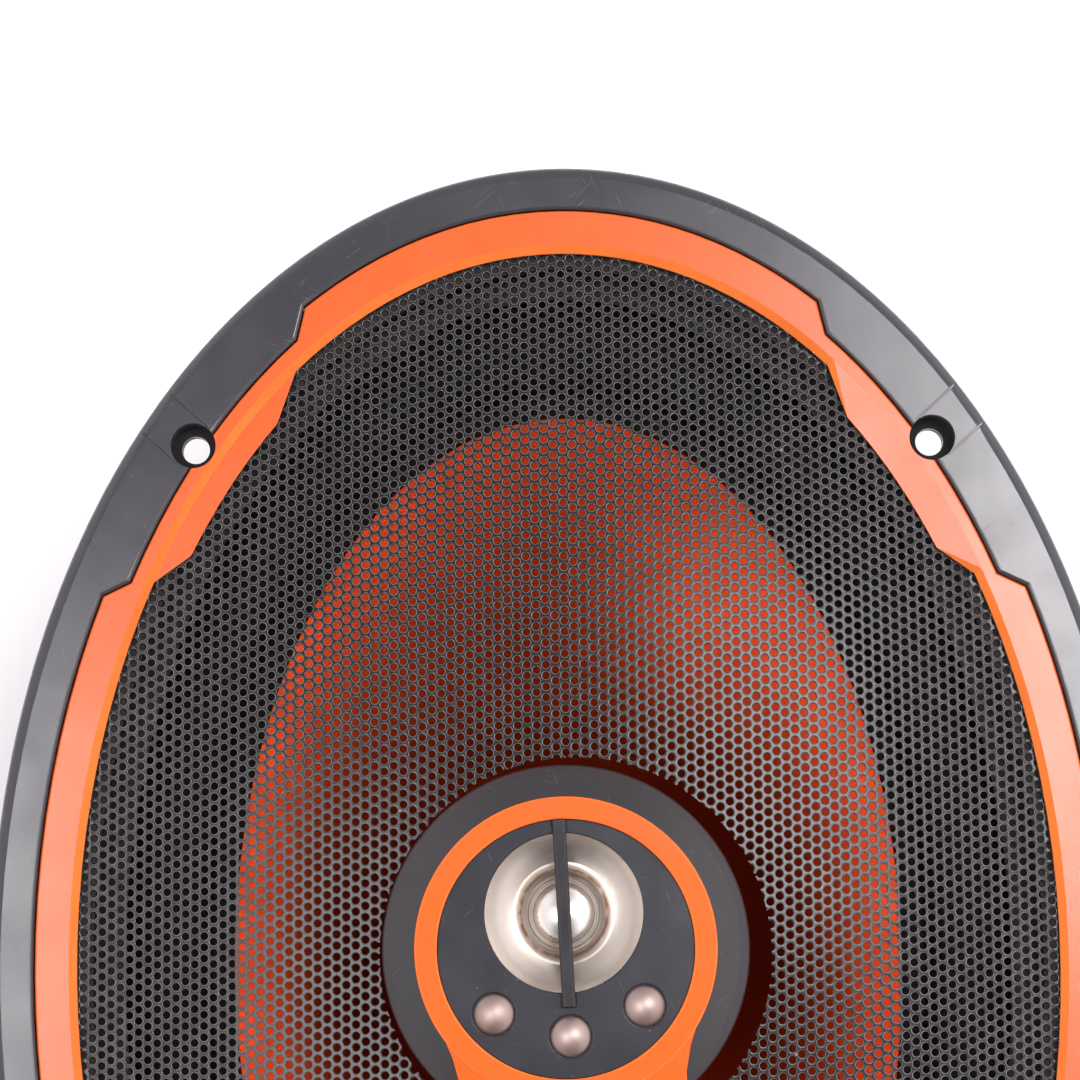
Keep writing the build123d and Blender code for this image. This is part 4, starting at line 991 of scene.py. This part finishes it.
def make_floor():
    """Pale floor just below the speaker, in metres."""
    size = 3.0
    gap = 0.0002
    low = cad_box[0].z - gap
    mesh = bpy.data.meshes.new("floor")
    corners = [(-size, -size, low), (size, -size, low), (size, size, low), (-size, size, low)]
    mesh.from_pydata(corners, [], [(0, 1, 2, 3)])
    floor = bpy.data.objects.new("floor", mesh)
    bpy.context.scene.collection.objects.link(floor)
    finish = Finish("floor_white", (0.90, 0.90, 0.905), 0.75)
    finish.rough(finish.noise(60.0, 2.0), 0.3, 0.7, 0.70, 0.80)
    mesh.materials.append(finish.material)


AMBIENT = 0.24
WALL_START = 0.25
WALL_FULL = 0.75
WALL_RIGHT = 1.5
WALL_LEFT = 1.05
WALL_BACK = 0.5


def make_world():
    """Dim studio with pale walls at both sides, the right one brighter, and a faint one at the back."""
    world = bpy.data.worlds.new("studio")
    bpy.context.scene.world = world
    world.use_nodes = True
    tree = world.node_tree
    background = tree.nodes["Background"]
    place = tree.nodes.new("ShaderNodeTexCoord")
    split = tree.nodes.new("ShaderNodeSeparateXYZ")
    tree.links.new(place.outputs["Generated"], split.inputs[0])
    walls = ((0, 1, WALL_RIGHT), (0, -1, WALL_LEFT), (1, 1, WALL_BACK))
    total = None
    for axis, sign, top in walls:
        wall = tree.nodes.new("ShaderNodeMapRange")
        wall.interpolation_type = "SMOOTHSTEP"
        wall.inputs["From Min"].default_value = sign * WALL_START
        wall.inputs["From Max"].default_value = sign * WALL_FULL
        wall.inputs["To Min"].default_value = AMBIENT / len(walls)
        wall.inputs["To Max"].default_value = top
        tree.links.new(split.outputs[axis], wall.inputs["Value"])
        if total is None:
            total = wall.outputs["Result"]
            continue
        added = tree.nodes.new("ShaderNodeMath")
        added.operation = "ADD"
        tree.links.new(total, added.inputs[0])
        tree.links.new(wall.outputs["Result"], added.inputs[1])
        total = added.outputs[0]
    tree.links.new(total, background.inputs["Strength"])
    background.inputs["Color"].default_value = (1.0, 0.965, 1.0, 1.0)


def softbox(name, x_range, y_range, height, radiance):
    """Level rectangle of light above the speaker, between two x and two y places, in metres."""
    data = bpy.data.lights.new(name, "AREA")
    data.shape = "RECTANGLE"
    data.size = x_range[1] - x_range[0]
    data.size_y = y_range[1] - y_range[0]
    data.energy = radiance * math.pi * data.size * data.size_y
    data.color = (1.0, 0.965, 0.985)
    light = bpy.data.objects.new(name, data)
    bpy.context.scene.collection.objects.link(light)
    light.location = (sum(x_range) / 2, sum(y_range) / 2, height)


def make_lights():
    """A large softbox at each side; the right one has a dimmer edge."""
    softbox("softbox_right", (0.185, 0.54), (0.02, 0.42), 1.10, 18.0)
    softbox("softbox_right_dim", (0.115, 0.185), (0.02, 0.42), 1.10, 7.0)
    softbox("softbox_left", (-0.52, -0.20), (-0.34, 0.17), 1.05, 11.0)


LENS = 110.0
SENSOR = 36.0
CAMERA_PLACE = (-0.85, -6.55, 495.0)
CAMERA_PITCH = 7.935
CAMERA_YAW = 0.399
CAMERA_ROLL = 0.6
CLIP_START = 0.01
CLIP_END = 20.0


def make_camera():
    """Camera nearly straight above the speaker, tipped towards its upper half."""
    data = bpy.data.cameras.new("camera")
    data.lens = LENS
    data.sensor_width = SENSOR
    data.clip_start = CLIP_START
    data.clip_end = CLIP_END
    camera = bpy.data.objects.new("camera", data)
    bpy.context.scene.collection.objects.link(camera)
    down = Vector((math.tan(math.radians(CAMERA_YAW)), -math.tan(math.radians(CAMERA_PITCH)), -1.0))
    z_axis = -down.normalized()
    x_axis = Vector((math.cos(math.radians(CAMERA_ROLL)), math.sin(math.radians(CAMERA_ROLL)), 0.0))
    x_axis = (x_axis - z_axis * x_axis.dot(z_axis)).normalized()
    y_axis = z_axis.cross(x_axis)
    turn = Matrix((x_axis, y_axis, z_axis)).to_4x4()
    camera.matrix_world = Matrix.Translation(Vector(CAMERA_PLACE) * MM) @ turn
    bpy.context.scene.camera = camera


# ---- the scene -----------------------------------------------------------------------------------

make_camera()
make_world()
make_lights()
make_floor()
dress_all()
Grille().build(grille_paint())
make_surround()
make_spider()
make_leads()
make_tweeter_roll()
bpy.context.scene.view_settings.view_transform = "Standard"
